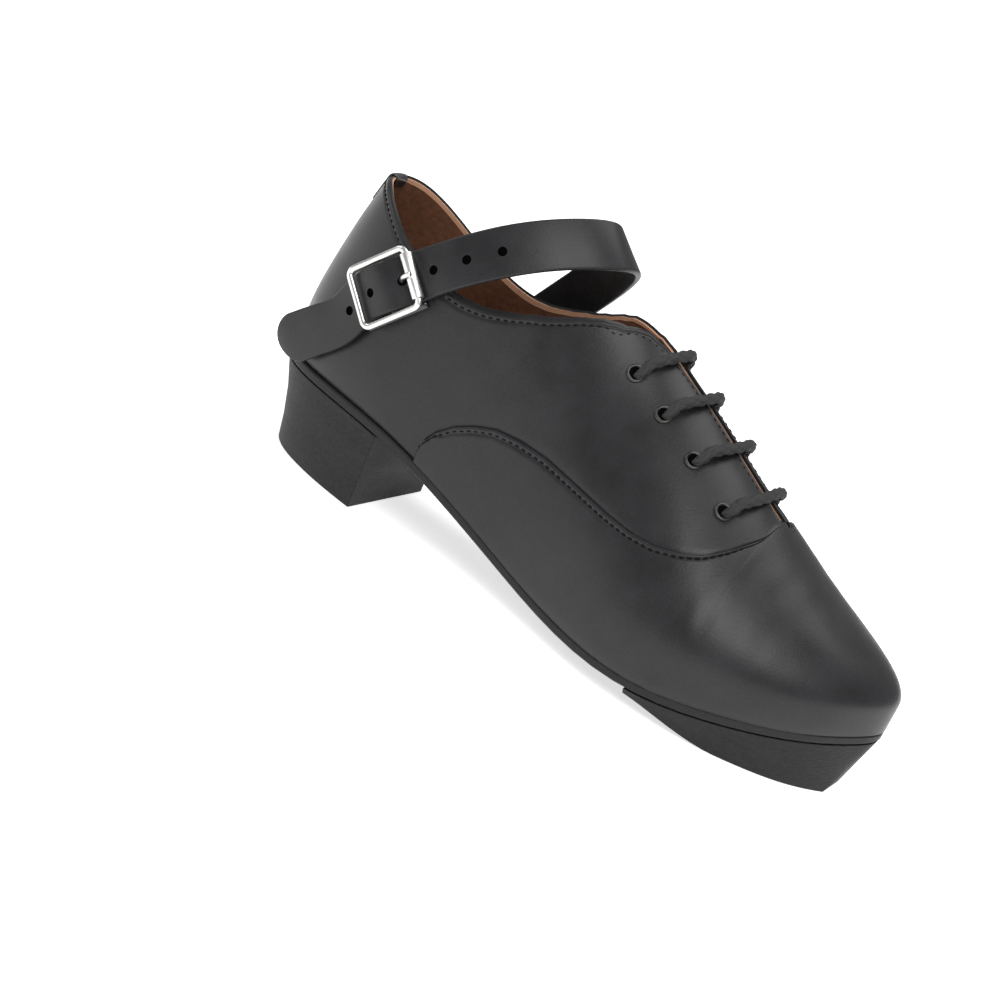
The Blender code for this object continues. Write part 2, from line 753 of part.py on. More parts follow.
def add_tongue(material, collection):
    """The tongue: an arch under the facings, a wall's thickness inside the last."""
    stations = np.linspace(TONGUE_TOP, TONGUE_FOOT, 16)
    rows = 6
    bm = bmesh.new()
    grid = []
    for medial in (False, True):
        turns = turn_at(stations, medial)
        heights = np.linspace(0.3, 1, 301)
        points = rib_points(turns, heights)
        crest = ridge(np.ravel(points[..., 0]))[:, 1].reshape(points.shape[:2])
        top_round = np.clip((stations - TONGUE_TOP) / (TONGUE_HALF_WIDTH * 0.5), 0, 1)
        reach = TONGUE_HALF_WIDTH * (0.62 + 0.38 * np.sin(pi / 2 * top_round))
        start = first_crossing(reach[:, None] - np.abs(points[..., 1] - crest), heights)
        v = start[:, None] + (0.9995 - start)[:, None] * np.linspace(0, 1, rows)
        surface = rib_points(turns, v) - rib_normals(turns, v) * (WALL + FIT + 0.0002)
        grid.append(surface)
    left, right = grid
    middle = (left[:, -1] + right[:, -1]) / 2
    across = np.concatenate([left[:, :-1], middle[:, None], right[:, :-1][:, ::-1]], axis=1)
    verts = [[bm.verts.new(p) for p in row] for row in world(across)]
    for i in range(len(verts) - 1):
        for k in range(len(verts[0]) - 1):
            bm.faces.new((verts[i][k], verts[i + 1][k], verts[i + 1][k + 1], verts[i][k + 1]))
    bmesh.ops.recalc_face_normals(bm, faces=bm.faces)
    if sum(f.normal.z for f in bm.faces) < 0:
        bmesh.ops.reverse_faces(bm, faces=bm.faces)
    mesh = bpy.data.meshes.new("tongue")
    bm.to_mesh(mesh)
    bm.free()
    item = new_object("tongue", mesh, material, collection)
    wall = item.modifiers.new("thickness", "SOLIDIFY")
    wall.thickness = TONGUE_THICKNESS
    wall.offset = -1
    smooth(item)
    return item


def direction(normal):
    """World direction of an (along, side, up) direction."""
    return Vector((normal[1], -normal[0], normal[2])).normalized()


def beside_ridge(along, distance, medial):
    """Surface point and outward normal of the last at a distance from the ridge."""
    turn = turn_at(np.array([along]), medial)
    heights = np.linspace(0.3, 1, 701)
    points = rib_points(turn, heights)
    crest = ridge(points[0, :, 0])[:, 1]
    v = first_crossing((distance - np.abs(points[0, :, 1] - crest))[None], heights)
    v = np.minimum(v, 0.999)
    point = rib_points(turn, v[:, None])[0, 0]
    normal = rib_normals(turn, v[:, None])[0, 0]
    return Vector(world(point)), direction(normal)


def on_quarter(along, up, medial):
    """Point and outward normal of the last at a length along the shoe and a height, in (along, side, up)."""
    turns = turn_at(np.clip(along + np.linspace(-0.03, 0.03, 61), BACK_ALONG, TOE_ALONG), medial)
    heights = np.linspace(0.05, 0.999, 400)
    v = first_crossing(rib_points(turns, heights)[..., 2] - up, heights)
    found = rib_points(turns, v[:, None])[:, 0, 0]
    order = np.argsort(found)
    turn = np.array([np.interp(along, found[order], turns[order])])
    height = np.array([[np.interp(along, found[order], v[order])]])
    return rib_points(turn, height)[0, 0], rib_normals(turn, height)[0, 0]


def aligned(point, normal):
    """A matrix with +Z along a normal at a point."""
    return Matrix.Translation(point) @ normal.to_track_quat("Z", "X").to_matrix().to_4x4()


def turned(name, profile, matrix, material, collection):
    """A ring turned from a closed profile of (radius, height) points."""
    bm = bmesh.new()
    rings = []
    for i in range(ROUND_STEPS):
        angle = 2 * pi * i / ROUND_STEPS
        rings.append([bm.verts.new(matrix @ Vector((r * cos(angle), r * sin(angle), z))) for r, z in profile])
    for i in range(ROUND_STEPS):
        j = (i + 1) % ROUND_STEPS
        for k in range(len(profile)):
            m = (k + 1) % len(profile)
            bm.faces.new((rings[i][k], rings[j][k], rings[j][m], rings[i][m]))
    item = new_object(name, mesh_from(name, bm), material, collection)
    smooth(item)
    return item


def add_eyelets(upper, material, collection, cutters):
    """Four pairs of eyelets, each with its hole through the wall."""
    lift = 0.0004
    for medial in (False, True):
        row = "medial" if medial else "lateral"
        for number, (share, reach) in enumerate(EYELETS, 1):
            matrix = aligned(*beside_ridge(share * FOOT_LENGTH, EYELET_SIDE * reach, medial))
            profile = (
                (EYELET_HOLE, -WALL),
                (EYELET_BARREL, -WALL),
                (EYELET_BARREL, lift),
                (EYELET_RADIUS, lift),
                (EYELET_RADIUS * 0.92, lift + 0.0005),
                (EYELET_BARREL, lift + 0.0007),
                (EYELET_HOLE, lift + 0.0004),
            )
            turned(f"eyelet_{row}_{number}", profile, matrix, material, collection)
            bm = bmesh.new()
            radius = EYELET_BARREL + FIT
            bmesh.ops.create_cone(bm, cap_ends=True, segments=ROUND_STEPS, radius1=radius, radius2=radius,
                                  depth=4 * WALL, matrix=matrix)
            cutter = new_object(f"hole_{row}_{number}", mesh_from("hole", bm), material, cutters)
            cutter.hide_render = True
            cutter.display_type = "WIRE"
            hole = upper.modifiers.new(f"hole_{row}_{number}", "BOOLEAN")
            hole.operation = "DIFFERENCE"
            hole.object = cutter


def swept(name, path, radius, sides, material, collection, closed=False, up=None):
    """A round bar along a path with flat ends, or a closed ring."""
    bm = bmesh.new()
    rings = []
    count = len(path)
    for i, place in enumerate(path):
        before = path[(i - 1) % count] if closed or i else place
        after = path[(i + 1) % count] if closed or i < count - 1 else place
        ahead = (after - before).normalized()
        across = (up or Vector((0, 0, 1))).cross(ahead).normalized()
        over = ahead.cross(across)
        turns = [2 * pi * (k + 0.5) / sides for k in range(sides)]
        rings.append([bm.verts.new(place + across * (radius * cos(a)) + over * (radius * sin(a))) for a in turns])
    for i in range(count if closed else count - 1):
        j = (i + 1) % count
        for k in range(sides):
            m = (k + 1) % sides
            bm.faces.new((rings[i][k], rings[j][k], rings[j][m], rings[i][m]))
    if not closed:
        bm.faces.new(rings[0])
        bm.faces.new(rings[-1][::-1])
    item = new_object(name, mesh_from(name, bm), material, collection)
    smooth(item, 50)
    return item


def add_lace_bars(material, collection):
    """Four bars of lace over the throat, each from eyelet to eyelet with its middle a little further forward."""
    for number, (share, reach) in enumerate(EYELETS, 1):
        path = []
        for t in np.linspace(-1, 1, 11):
            along = share * FOOT_LENGTH + LACE_LEAD * (1 - t * t)
            place, out = beside_ridge(along, EYELET_SIDE * reach * abs(t), t > 0)
            rise = EYELET_RISE * min(1.0, max(0.0, (abs(t) - 0.35) / 0.4))
            path.append(place + out * (LACE_RADIUS + FIT + LACE_LIFT + rise))
        swept(f"lace_bar_{number}", path, LACE_RADIUS, 8, material, collection)


def buckle_frame_axes():
    """The buckle's origin on the quarter, and its directions along the strap, across it and outwards."""
    place, normal = on_quarter(*BUCKLE_PLACE, False)
    run = np.array([cos(BUCKLE_SLOPE), 0.0, sin(BUCKLE_SLOPE)])
    run -= normal * (run @ normal)
    run /= np.linalg.norm(run)
    return place, run, np.cross(run, normal), normal


def strap_table():
    """Rows of the strap: its middle point and the direction of its lower edge, in (along, side, up)."""
    place, run, across, normal = buckle_frame_axes()
    rows = []
    for part in (STRAP_TAIL, None, STRAP_LEAD):
        if part is None:
            for step, height in zip((-1, 0, 1), STRAP_AT_BARS):
                middle = place + run * (step * BUCKLE_HALF_LENGTH) + normal * height
                rows.append([*middle, *across])
            continue
        for side, along, up, edge_along, edge_side, edge_up in part:
            rows.append([along * STRAP_RUN, -side * STRAP_RUN, up * STRAP_RUN, edge_along, -edge_side, edge_up])
    return np.array(rows)


def strap_frames(shares):
    """Middle points, width directions and outward directions of the strap, in (along, side, up), and the knots."""
    table = strap_table()
    chords = np.linalg.norm(np.diff(table[:, :3], axis=0), axis=1)
    knots = np.concatenate([[0], np.cumsum(chords)])
    at = np.asarray(shares) * knots[-1]
    found = spline(knots, table, at)
    step = 1e-4
    tangent = spline(knots, table[:, :3], at + step) - spline(knots, table[:, :3], at - step)
    tangent /= np.linalg.norm(tangent, axis=1)[:, None]
    width = found[:, 3:]
    width -= tangent * (width * tangent).sum(1)[:, None]
    width /= np.linalg.norm(width, axis=1)[:, None]
    return found[:, :3], width, np.cross(width, tangent), knots


def add_strap(material, collection, cutters):
    """The strap with its six holes."""
    middle, width, outward, knots = strap_frames(np.linspace(0, 1, STRAP_STATIONS))
    half = STRAP_WIDTH / 2
    thick = STRAP_THICKNESS / 2
    corner = STRAP_CORNER
    section = (
        (-half, thick - corner),
        (-half + corner, thick),
        (half - corner, thick),
        (half, thick - corner),
        (half, corner - thick),
        (half - corner, -thick),
        (corner - half, -thick),
        (-half, corner - thick),
    )
    length = knots[-1]
    bm = bmesh.new()
    rings = []
    for i in range(STRAP_STATIONS):
        round_end = min(1.0, length * i / (STRAP_STATIONS - 1) / half)
        narrow = 0.45 + 0.55 * np.sqrt(1 - (1 - round_end) ** 2)
        ring = [middle[i] + width[i] * (a * narrow) + outward[i] * b for a, b in section]
        rings.append([bm.verts.new(p) for p in world(np.array(ring))])
    for i in range(STRAP_STATIONS - 1):
        for k in range(len(section)):
            m = (k + 1) % len(section)
            bm.faces.new((rings[i][k], rings[i][m], rings[i + 1][m], rings[i + 1][k]))
    bm.faces.new(rings[0])
    bm.faces.new(rings[-1][::-1])
    item = new_object("ankle_strap", mesh_from("ankle_strap", bm), material, collection)
    smooth(item)
    centre_bar_run = knots[len(STRAP_TAIL) + 1]
    for number in range(6):
        run = centre_bar_run + HOLE_AT_BUCKLE + (number - 2) * STRAP_HOLE_PITCH
        centre, _, out, _ = strap_frames(np.array([run / length]))
        bm = bmesh.new()
        matrix = aligned(Vector(world(centre)[0]), direction(out[0]))
        bmesh.ops.create_cone(bm, cap_ends=True, segments=10, radius1=STRAP_HOLE, radius2=STRAP_HOLE,
                              depth=4 * STRAP_THICKNESS, matrix=matrix)
        cutter = new_object(f"strap_hole_{number + 1}", mesh_from("strap_hole", bm), material, cutters)
        cutter.hide_render = True
        cutter.display_type = "WIRE"
        hole = item.modifiers.new(f"hole_{number + 1}", "BOOLEAN")
        hole.operation = "DIFFERENCE"
        hole.object = cutter
    return item


def add_buckle(metal, leather, collection, cutters):
    """The leather tab, the frame with its centre bar, the roller and the prong."""
    place, run, across, normal = buckle_frame_axes()
    out = direction(normal)

    def at(along_strap, sideways, height):
        return Vector(world(place + run * along_strap + across * sideways + normal * height))

    bm = bmesh.new()
    grid = []
    for p in np.linspace(-1.12, 0.92, 8) * BUCKLE_HALF_LENGTH:
        row = []
        for q in np.linspace(-1, 1, 6) * TAB_HALF_WIDTH:
            near = place + run * p + across * q
            surface, out_here = on_quarter(near[0], near[2], False)
            row.append([bm.verts.new(world(surface + out_here * h)) for h in (FIT, FIT + TAB_THICKNESS)])
        grid.append(row)
    for level in (0, 1):
        for i in range(len(grid) - 1):
            for k in range(len(grid[0]) - 1):
                corners = (grid[i][k], grid[i + 1][k], grid[i + 1][k + 1], grid[i][k + 1])
                bm.faces.new([c[level] for c in corners])
    border = [(i, 0) for i in range(len(grid))] + [(len(grid) - 1, k) for k in range(1, len(grid[0]))]
    border += [(i, len(grid[0]) - 1) for i in range(len(grid) - 2, -1, -1)]
    border += [(0, k) for k in range(len(grid[0]) - 2, 0, -1)]
    for first, second in zip(border, border[1:] + border[:1]):
        a = grid[first[0]][first[1]]
        b = grid[second[0]][second[1]]
        bm.faces.new((a[0], b[0], b[1], a[1]))
    tab = new_object("buckle_tab", mesh_from("buckle_tab", bm), leather, collection)
    smooth(tab)

    corner = 2 * BUCKLE_BAR
    loop = []
    for sign_p, sign_q in ((1, 1), (-1, 1), (-1, -1), (1, -1)):
        p = sign_p * BUCKLE_HALF_LENGTH
        q = sign_q * BUCKLE_HALF_WIDTH
        first = at(p, q - sign_q * corner, BUCKLE_HEIGHT)
        middle = at(p - sign_p * corner * 0.3, q - sign_q * corner * 0.3, BUCKLE_HEIGHT)
        last = at(p - sign_p * corner, q, BUCKLE_HEIGHT)
        loop += [first, middle, last] if sign_p == sign_q else [last, middle, first]
    frame = swept("buckle_frame", loop, BUCKLE_BAR, 8, metal, collection, closed=True, up=out)
    ends = [at(0, q * BUCKLE_HALF_WIDTH, CENTRE_BAR_HEIGHT) for q in (-0.93, 0.93)]
    posts = [at(0, q * BUCKLE_HALF_WIDTH, BUCKLE_HEIGHT) for q in (-1, 1)]
    bar = swept("centre_bar", [posts[0], ends[0], ends[1], posts[1]], CENTRE_BAR, 8, metal, cutters, up=direction(run))
    bar.hide_render = True
    bar.display_type = "WIRE"
    union = frame.modifiers.new("centre_bar", "BOOLEAN")
    union.operation = "UNION"
    union.object = bar

    axis = Matrix((world_direction(normal), world_direction(run), world_direction(across))).transposed().to_4x4()
    axis.translation = at(BUCKLE_HALF_LENGTH, 0, BUCKLE_HEIGHT)
    bore = BUCKLE_BAR + FIT
    profile = (
        (bore, -ROLLER_HALF_WIDTH),
        (ROLLER_RADIUS, -ROLLER_HALF_WIDTH),
        (ROLLER_RADIUS, ROLLER_HALF_WIDTH),
        (bore, ROLLER_HALF_WIDTH),
    )
    turned("buckle_roller", profile, axis, metal.copy(), collection)
    pin = [at(p, 0, h) for p, h in PRONG_PATH]
    swept("buckle_prong", pin, PRONG_RADIUS, 8, metal.copy(), collection, up=direction(across))


def world_direction(vector):
    """World direction of an (along, side, up) direction, as a row."""
    return tuple(direction(vector))


def main():
    """Build every piece."""
    for item in list(bpy.data.objects):
        bpy.data.objects.remove(item)
    shoe = bpy.data.collections.new("irish_dance_hard_shoe")
    cutters = bpy.data.collections.new("cutters")
    bpy.context.scene.collection.children.link(shoe)
    bpy.context.scene.collection.children.link(cutters)
    leather = finish("black_leather", (0.035, 0.035, 0.038), 0.42, coat=0.15)
    sole = finish("sole_leather", (0.018, 0.018, 0.019), 0.60)
    block = finish("hard_block", (0.022, 0.022, 0.022), 0.75)
    lining = finish("tan_lining", (0.16, 0.075, 0.045), 0.75)
    braid = finish("black_braid", (0.020, 0.020, 0.021), 0.85)
    ring = finish("black_metal", (0.05, 0.05, 0.05), 0.35, metallic=1.0)
    silver = finish("silver", (0.62, 0.62, 0.64), 0.28, metallic=1.0)
    upper = add_upper(leather, shoe)
    add_outsole(sole, shoe)
    add_heel(block.copy(), shoe)
    add_toe_block(block, shoe)
    add_insole(lining, shoe)
    add_tongue(leather.copy(), shoe)
    add_eyelets(upper, ring, shoe, cutters)
    add_lace_bars(braid, shoe)
    add_strap(leather.copy(), shoe, cutters)
    add_buckle(silver, leather.copy(), shoe, cutters)


if __name__ == "__main__":
    main()
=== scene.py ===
"""Looks of an Irish dance hard shoe: one right shoe in smooth black leather, on its heel and toe block.

The upper, its stitches, the laces and the buckle are drawn on the last that the shoe is made on, in the
shoe's own frame: toe towards -Y, medial side +X, lateral side -X, +Z up, floor at z = 0. Lengths along the
shoe are measured forward from the back of the heel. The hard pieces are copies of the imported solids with
finer edges.
"""

import logging
import math
from dataclasses import dataclass
from enum import Enum
from typing import Sequence

import bmesh
import bpy
import numpy as np
from mathutils import Matrix, Vector

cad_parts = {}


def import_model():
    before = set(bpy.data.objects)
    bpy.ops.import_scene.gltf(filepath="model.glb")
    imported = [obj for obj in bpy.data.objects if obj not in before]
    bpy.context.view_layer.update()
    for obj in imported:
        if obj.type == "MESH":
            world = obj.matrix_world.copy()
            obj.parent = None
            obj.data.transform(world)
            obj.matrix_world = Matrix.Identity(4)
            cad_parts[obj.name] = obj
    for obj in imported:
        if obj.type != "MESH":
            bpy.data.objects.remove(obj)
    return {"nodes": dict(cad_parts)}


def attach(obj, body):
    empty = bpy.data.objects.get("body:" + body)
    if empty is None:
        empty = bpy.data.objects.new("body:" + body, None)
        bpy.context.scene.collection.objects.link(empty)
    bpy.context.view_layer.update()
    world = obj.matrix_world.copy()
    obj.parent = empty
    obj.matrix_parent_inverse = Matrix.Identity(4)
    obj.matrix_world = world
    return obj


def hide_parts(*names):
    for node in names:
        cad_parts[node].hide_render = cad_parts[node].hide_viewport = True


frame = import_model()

LOG = logging.getLogger("hard_shoe")
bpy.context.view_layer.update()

# Driving sizes of the shoe, in metres
FOOT_LENGTH = 0.246
BALL_HALF_WIDTH = 0.040
HEEL_SEAT = 0.0343
TOE_SEAT = 0.0253
INSTEP_HEIGHT = 0.1025
COLLAR_BACK = 0.1022
THROAT_BASE = 0.186
WALL = 0.0020
VAMP_STEP = 0.0010
FACING_GAP = 0.0021
HEEL_Y = 0.03185
# Share of a rib that lies below the bulge of the leather
LOWER_SHARE = 0.16
# Where the ribs' upper ends gather on the ridge, as shares of the foot length
HEEL_POLE = 0.155
TOE_POLE = 0.835
POLE_SOFTNESS = 0.05
# Tip of the toe: share of the foot length, medial share of BALL_HALF_WIDTH
TOE_POINT = (0.990, 0.20)

# Columns: share of the foot length, lateral and medial half width as shares of BALL_HALF_WIDTH
OUTLINE = (
    (0.030, 0.40, 0.40),
    (0.100, 0.615, 0.615),
    (0.200, 0.675, 0.665),
    (0.320, 0.655, 0.590),
    (0.440, 0.680, 0.475),
    (0.550, 0.830, 0.555),
    (0.660, 1.000, 0.800),
    (0.750, 0.990, 0.955),
    (0.840, 0.800, 0.970),
    (0.920, 0.510, 0.830),
    (0.967, 0.170, 0.560),
)
# Columns: share of the foot length, share of HEEL_SEAT, share of TOE_SEAT that add up to the feather height
FEATHER = (
    (0.00, 1.000, 0.000),
    (0.12, 0.968, 0.000),
    (0.24, 0.850, 0.018),
    (0.40, 0.470, 0.112),
    (0.53, 0.160, 0.245),
    (0.66, 0.030, 0.340),
    (0.76, 0.000, 0.455),
    (0.88, 0.000, 0.676),
    (1.00, 0.000, 1.000),
)
# Columns: share of the foot length, share of INSTEP_HEIGHT, sideways share of BALL_HALF_WIDTH
RIDGE = (
    (-0.036, 1.704, 0.000),
    (0.135, 1.645, 0.000),
    (0.287, 1.438, 0.000),
    (0.409, 1.181, 0.008),
    (0.491, 1.000, 0.016),
    (0.592, 0.869, 0.025),
    (0.693, 0.740, 0.045),
    (0.774, 0.637, 0.070),
    (0.855, 0.529, 0.090),
    (0.916, 0.447, 0.100),
)
# Columns: share of the foot length, overhang and height of the bulge as shares of BALL_HALF_WIDTH, fullness
# of the lower and upper half of a rib
FULLNESS = (
    (-0.03, 0.030, 0.400, 0.34, 0.42),
    (0.05, 0.045, 0.400, 0.38, 0.45),
    (0.12, 0.080, 0.400, 0.50, 0.51),
    (0.25, 0.063, 0.375, 0.62, 0.55),
    (0.42, 0.052, 0.352, 0.55, 0.50),
    (0.60, 0.070, 0.325, 0.50, 0.50),
    (0.75, 0.088, 0.325, 0.45, 0.43),
    (0.88, 0.060, 0.262, 0.44, 0.42),
    (1.00, -0.010, 0.238, 0.38, 0.42),
)
# The collar from the back to the throat: share of the foot length, share of COLLAR_BACK
COLLAR = (
    (-0.02, 1.002),
    (0.015, 1.002),
    (0.039, 0.990),
    (0.062, 0.966),
    (0.089, 0.931),
    (0.138, 0.871),
    (0.196, 0.827),
    (0.228, 0.816),
    (0.261, 0.817),
    (0.297, 0.837),
    (0.339, 0.878),
    (0.374, 0.916),
    (0.406, 0.958),
    (0.430, 0.980),
    (0.450, 0.993),
    (0.500, 1.010),
)
# The lateral facing's edge: share of the foot length, distance from the ridge as a multiple of FACING_GAP
FACING = (
    (0.440, 8.0),
    (0.463, 5.2),
    (0.482, 3.7),
    (0.498, 2.6),
    (0.520, 1.6),
    (0.550, 1.1),
    (0.600, 1.0),
    (0.800, 1.0),
)
# The medial facing's edge, in the same columns
FACING_MEDIAL = (
    (0.440, 5.1),
    (0.463, 4.1),
    (0.482, 3.1),
    (0.498, 2.3),
    (0.520, 1.5),
    (0.550, 1.1),
    (0.600, 1.0),
    (0.800, 1.0),
)
# The edge of the vamp from the sole to the throat: share of THROAT_BASE, share of INSTEP_HEIGHT
SEAM = (
    (0.3700, 0.270),
    (0.3765, 0.345),
    (0.3915, 0.394),
    (0.4170, 0.441),
    (0.4505, 0.478),
    (0.4900, 0.507),
    (0.5390, 0.517),
    (0.5955, 0.516),
    (0.6715, 0.500),
    (0.7485, 0.486),
    (0.8085, 0.482),
    (0.8595, 0.489),
    (0.9020, 0.509),
    (0.9370, 0.536),
    (0.9640, 0.576),
    (0.9850, 0.618),
    (0.9960, 0.652),
    (1.0000, 0.668),
)
# The four eyelets of a row: share of the foot length, distance from the ridge as a multiple of EYELET_SIDE
EYELETS = (
    (0.4935, 1.00),
    (0.5557, 1.07),
    (0.6230, 1.21),
    (0.6920, 1.34),
)
EYELET_SIDE = 0.0167
# How far the middle of a lace bar lies ahead of its eyelets
LACE_LEAD = 0.0065
# Height on a rib from which it reaches the ridge and has no open edge
CROWN = 0.9995
# Height on a rib up to which normals are read, because the ribs meet above it
NORMAL_LIMIT = 0.985
# Least height of leather above the vamp's seam, as a share of a rib
LEAST_QUARTER = 0.03
# Height of the unseen seam behind the vamp, and how much more it has at the back, as shares of a rib
REAR_SEAM = (0.08, 0.34)
# How far the unseen seam sinks at the toe, as a share of its height
TOE_SINK = 0.45
# Rows of points on the vamp beside its seam: distance inside the edge, depth as a multiple of the groove
SEAM_ROWS = (
    (0.0032, 0.0),
    (0.0024, 0.0),
    (0.0020, 0.6),
    (0.0017, 1.0),
    (0.0014, 0.6),
    (0.0010, 0.0),
    (0.0006, 0.0),
    (0.0003, 0.25),
    (0.0001, 0.9),
    (0.0, 1.6),
)
# Rows of points on the quarter past the seam: distance from the edge, height over the last
STEP_ROWS = (
    (0.0002, -0.0003),
    (0.0006, -0.0002),
    (0.0011, -0.0001),
    (0.0018, 0.0),
)
# Rows of points below the collar and facing edges: distance below the edge, depth as a multiple of the roll
RIM_ROWS = (
    (0.0036, 0.0),
    (0.0029, 0.0),
    (0.0025, 0.20),
    (0.0022, 0.34),
    (0.0019, 0.20),
    (0.0015, 0.0),
    (0.0010, 0.02),
    (0.0007, 0.10),
    (0.0004, 0.28),
    (0.0002, 0.52),
    (0.0, 1.0),
)
# The buckle's middle on the lateral quarter: length along the shoe, height, and the slope of the strap there
BUCKLE_PLACE = (0.0367, 0.0744)
BUCKLE_SLOPE = math.radians(49.2)
BUCKLE_HALF_LENGTH = 0.0112
BUCKLE_HALF_WIDTH = 0.0103
BUCKLE_HEIGHT = 0.0063
# Gap between pieces that lie on each other
TOUCH_GAP = 0.0003
# Sides of a round bar's section
ROD = 24
# Length of the tongue's end that rolls down into the shoe, and how far its tip drops
TONGUE_ROLL = 0.016
TONGUE_DROP = 0.0075
# Scale of a finish's broad clouds as a share of its grain, and the fine grain's share of the colour
CLOUD_SCALE = 0.05
FINE_SHARE = 0.4
# Where the noise gives the dark and the light colour, and the least and the most roughness
COLOUR_STOPS = (0.34, 0.68)
GLOSS_STOPS = (0.3, 0.7)
# Strength of a finish's relief, and the roughness of its clear coat
BUMP_STRENGTH = 0.6
COAT_ROUGHNESS = 0.22


class Side(Enum):
    """The two sides of the shoe."""

    LATERAL = 0
    MEDIAL = 1


def spline(knots: np.ndarray, values: np.ndarray, at: np.ndarray, closed: bool = False) -> np.ndarray:
    """Smooth curve through a row of values for each knot.

    Args:
        knots: Rising places of the rows.
        values: One row, or one number, for each knot.
        at: Places to read the curve at.
        closed: True where the last row joins the first one smoothly.

    Returns:
        One row for each place.
    """
    knots = np.asarray(knots, float)
    values = np.asarray(values, float)
    flat = values.ndim == 1
    if flat:
        values = values[:, None]
    count = len(knots)
    gap = np.diff(knots)
    slope = np.diff(values, axis=0) / gap[:, None]
    size = count - 1 if closed else count
    matrix = np.zeros((size, size)) if closed else np.eye(size)
    right = np.zeros((size, values.shape[1]))
    for i in range(size) if closed else range(1, size - 1):
        before = gap[(i - 1) % (count - 1)]
        matrix[i, (i - 1) % size] = before
        matrix[i, i] = 2 * (before + gap[i])
        matrix[i, (i + 1) % size] = gap[i]
        right[i] = 6 * (slope[i] - slope[(i - 1) % (count - 1)])
    bend = np.linalg.solve(matrix, right)
    if closed:
        bend = np.vstack([bend, bend[:1]])
    at = np.atleast_1d(np.asarray(at, float))
    k = np.clip(np.searchsorted(knots, at, side="right") - 1, 0, count - 2)
    before = (knots[k + 1] - at)[:, None]
    after = (at - knots[k])[:, None]
    step = gap[k][:, None]
    result = (bend[k] * before**3 + bend[k + 1] * after**3) / (6 * step)
    result += (values[k] / step - bend[k] * step / 6) * before
    result += (values[k + 1] / step - bend[k + 1] * step / 6) * after
    return result[:, 0] if flat else result


def first_crossing(value: np.ndarray, heights: np.ndarray) -> np.ndarray:
    """Where a value first passes zero along each rib.

    Args:
        value: One row for each rib.
        heights: The heights that the columns stand for.

    Returns:
        A height for each rib, or 1 where the value stays below zero.
    """
    result = np.ones(value.shape[0])
    for i, row in enumerate(value):
        hits = np.nonzero(row > 0)[0]
        if not hits.size:
            continue
        k = hits[0]
        result[i] = heights[0]
        if k > 0:
            result[i] = heights[k - 1] + (heights[k] - heights[k - 1]) * row[k - 1] / (row[k - 1] - row[k])
    return result


def soften(along: np.ndarray, value: np.ndarray, free: np.ndarray, reach: float = 0.0022) -> np.ndarray:
    """Rounds the corners in a row of values.

    Args:
        along: Length along the shoe of each value, in order.
        value: The values.
        free: True for the values that may change.
        reach: Width of the rounding.

    Returns:
        The rounded values.
    """
    weight = np.exp(-((along[:, None] - along[None, :]) / reach) ** 2) * np.abs(np.gradient(along))[None, :]
    weight = weight * free[None, :]
    mean = weight @ value / np.maximum(weight.sum(1), 1e-12)
    return np.where(free, mean, value)


def world(points: np.ndarray) -> np.ndarray:
    """Places in the shoe's frame of (along, side, up) points."""
    points = np.asarray(points, float)
    return np.stack([points[..., 1], HEEL_Y - points[..., 0], points[..., 2]], -1)


def world_vector(vector: np.ndarray) -> np.ndarray:
    """Directions in the shoe's frame of (along, side, up) directions."""
    vector = np.asarray(vector, float)
    return np.stack([vector[..., 1], -vector[..., 0], vector[..., 2]], -1)


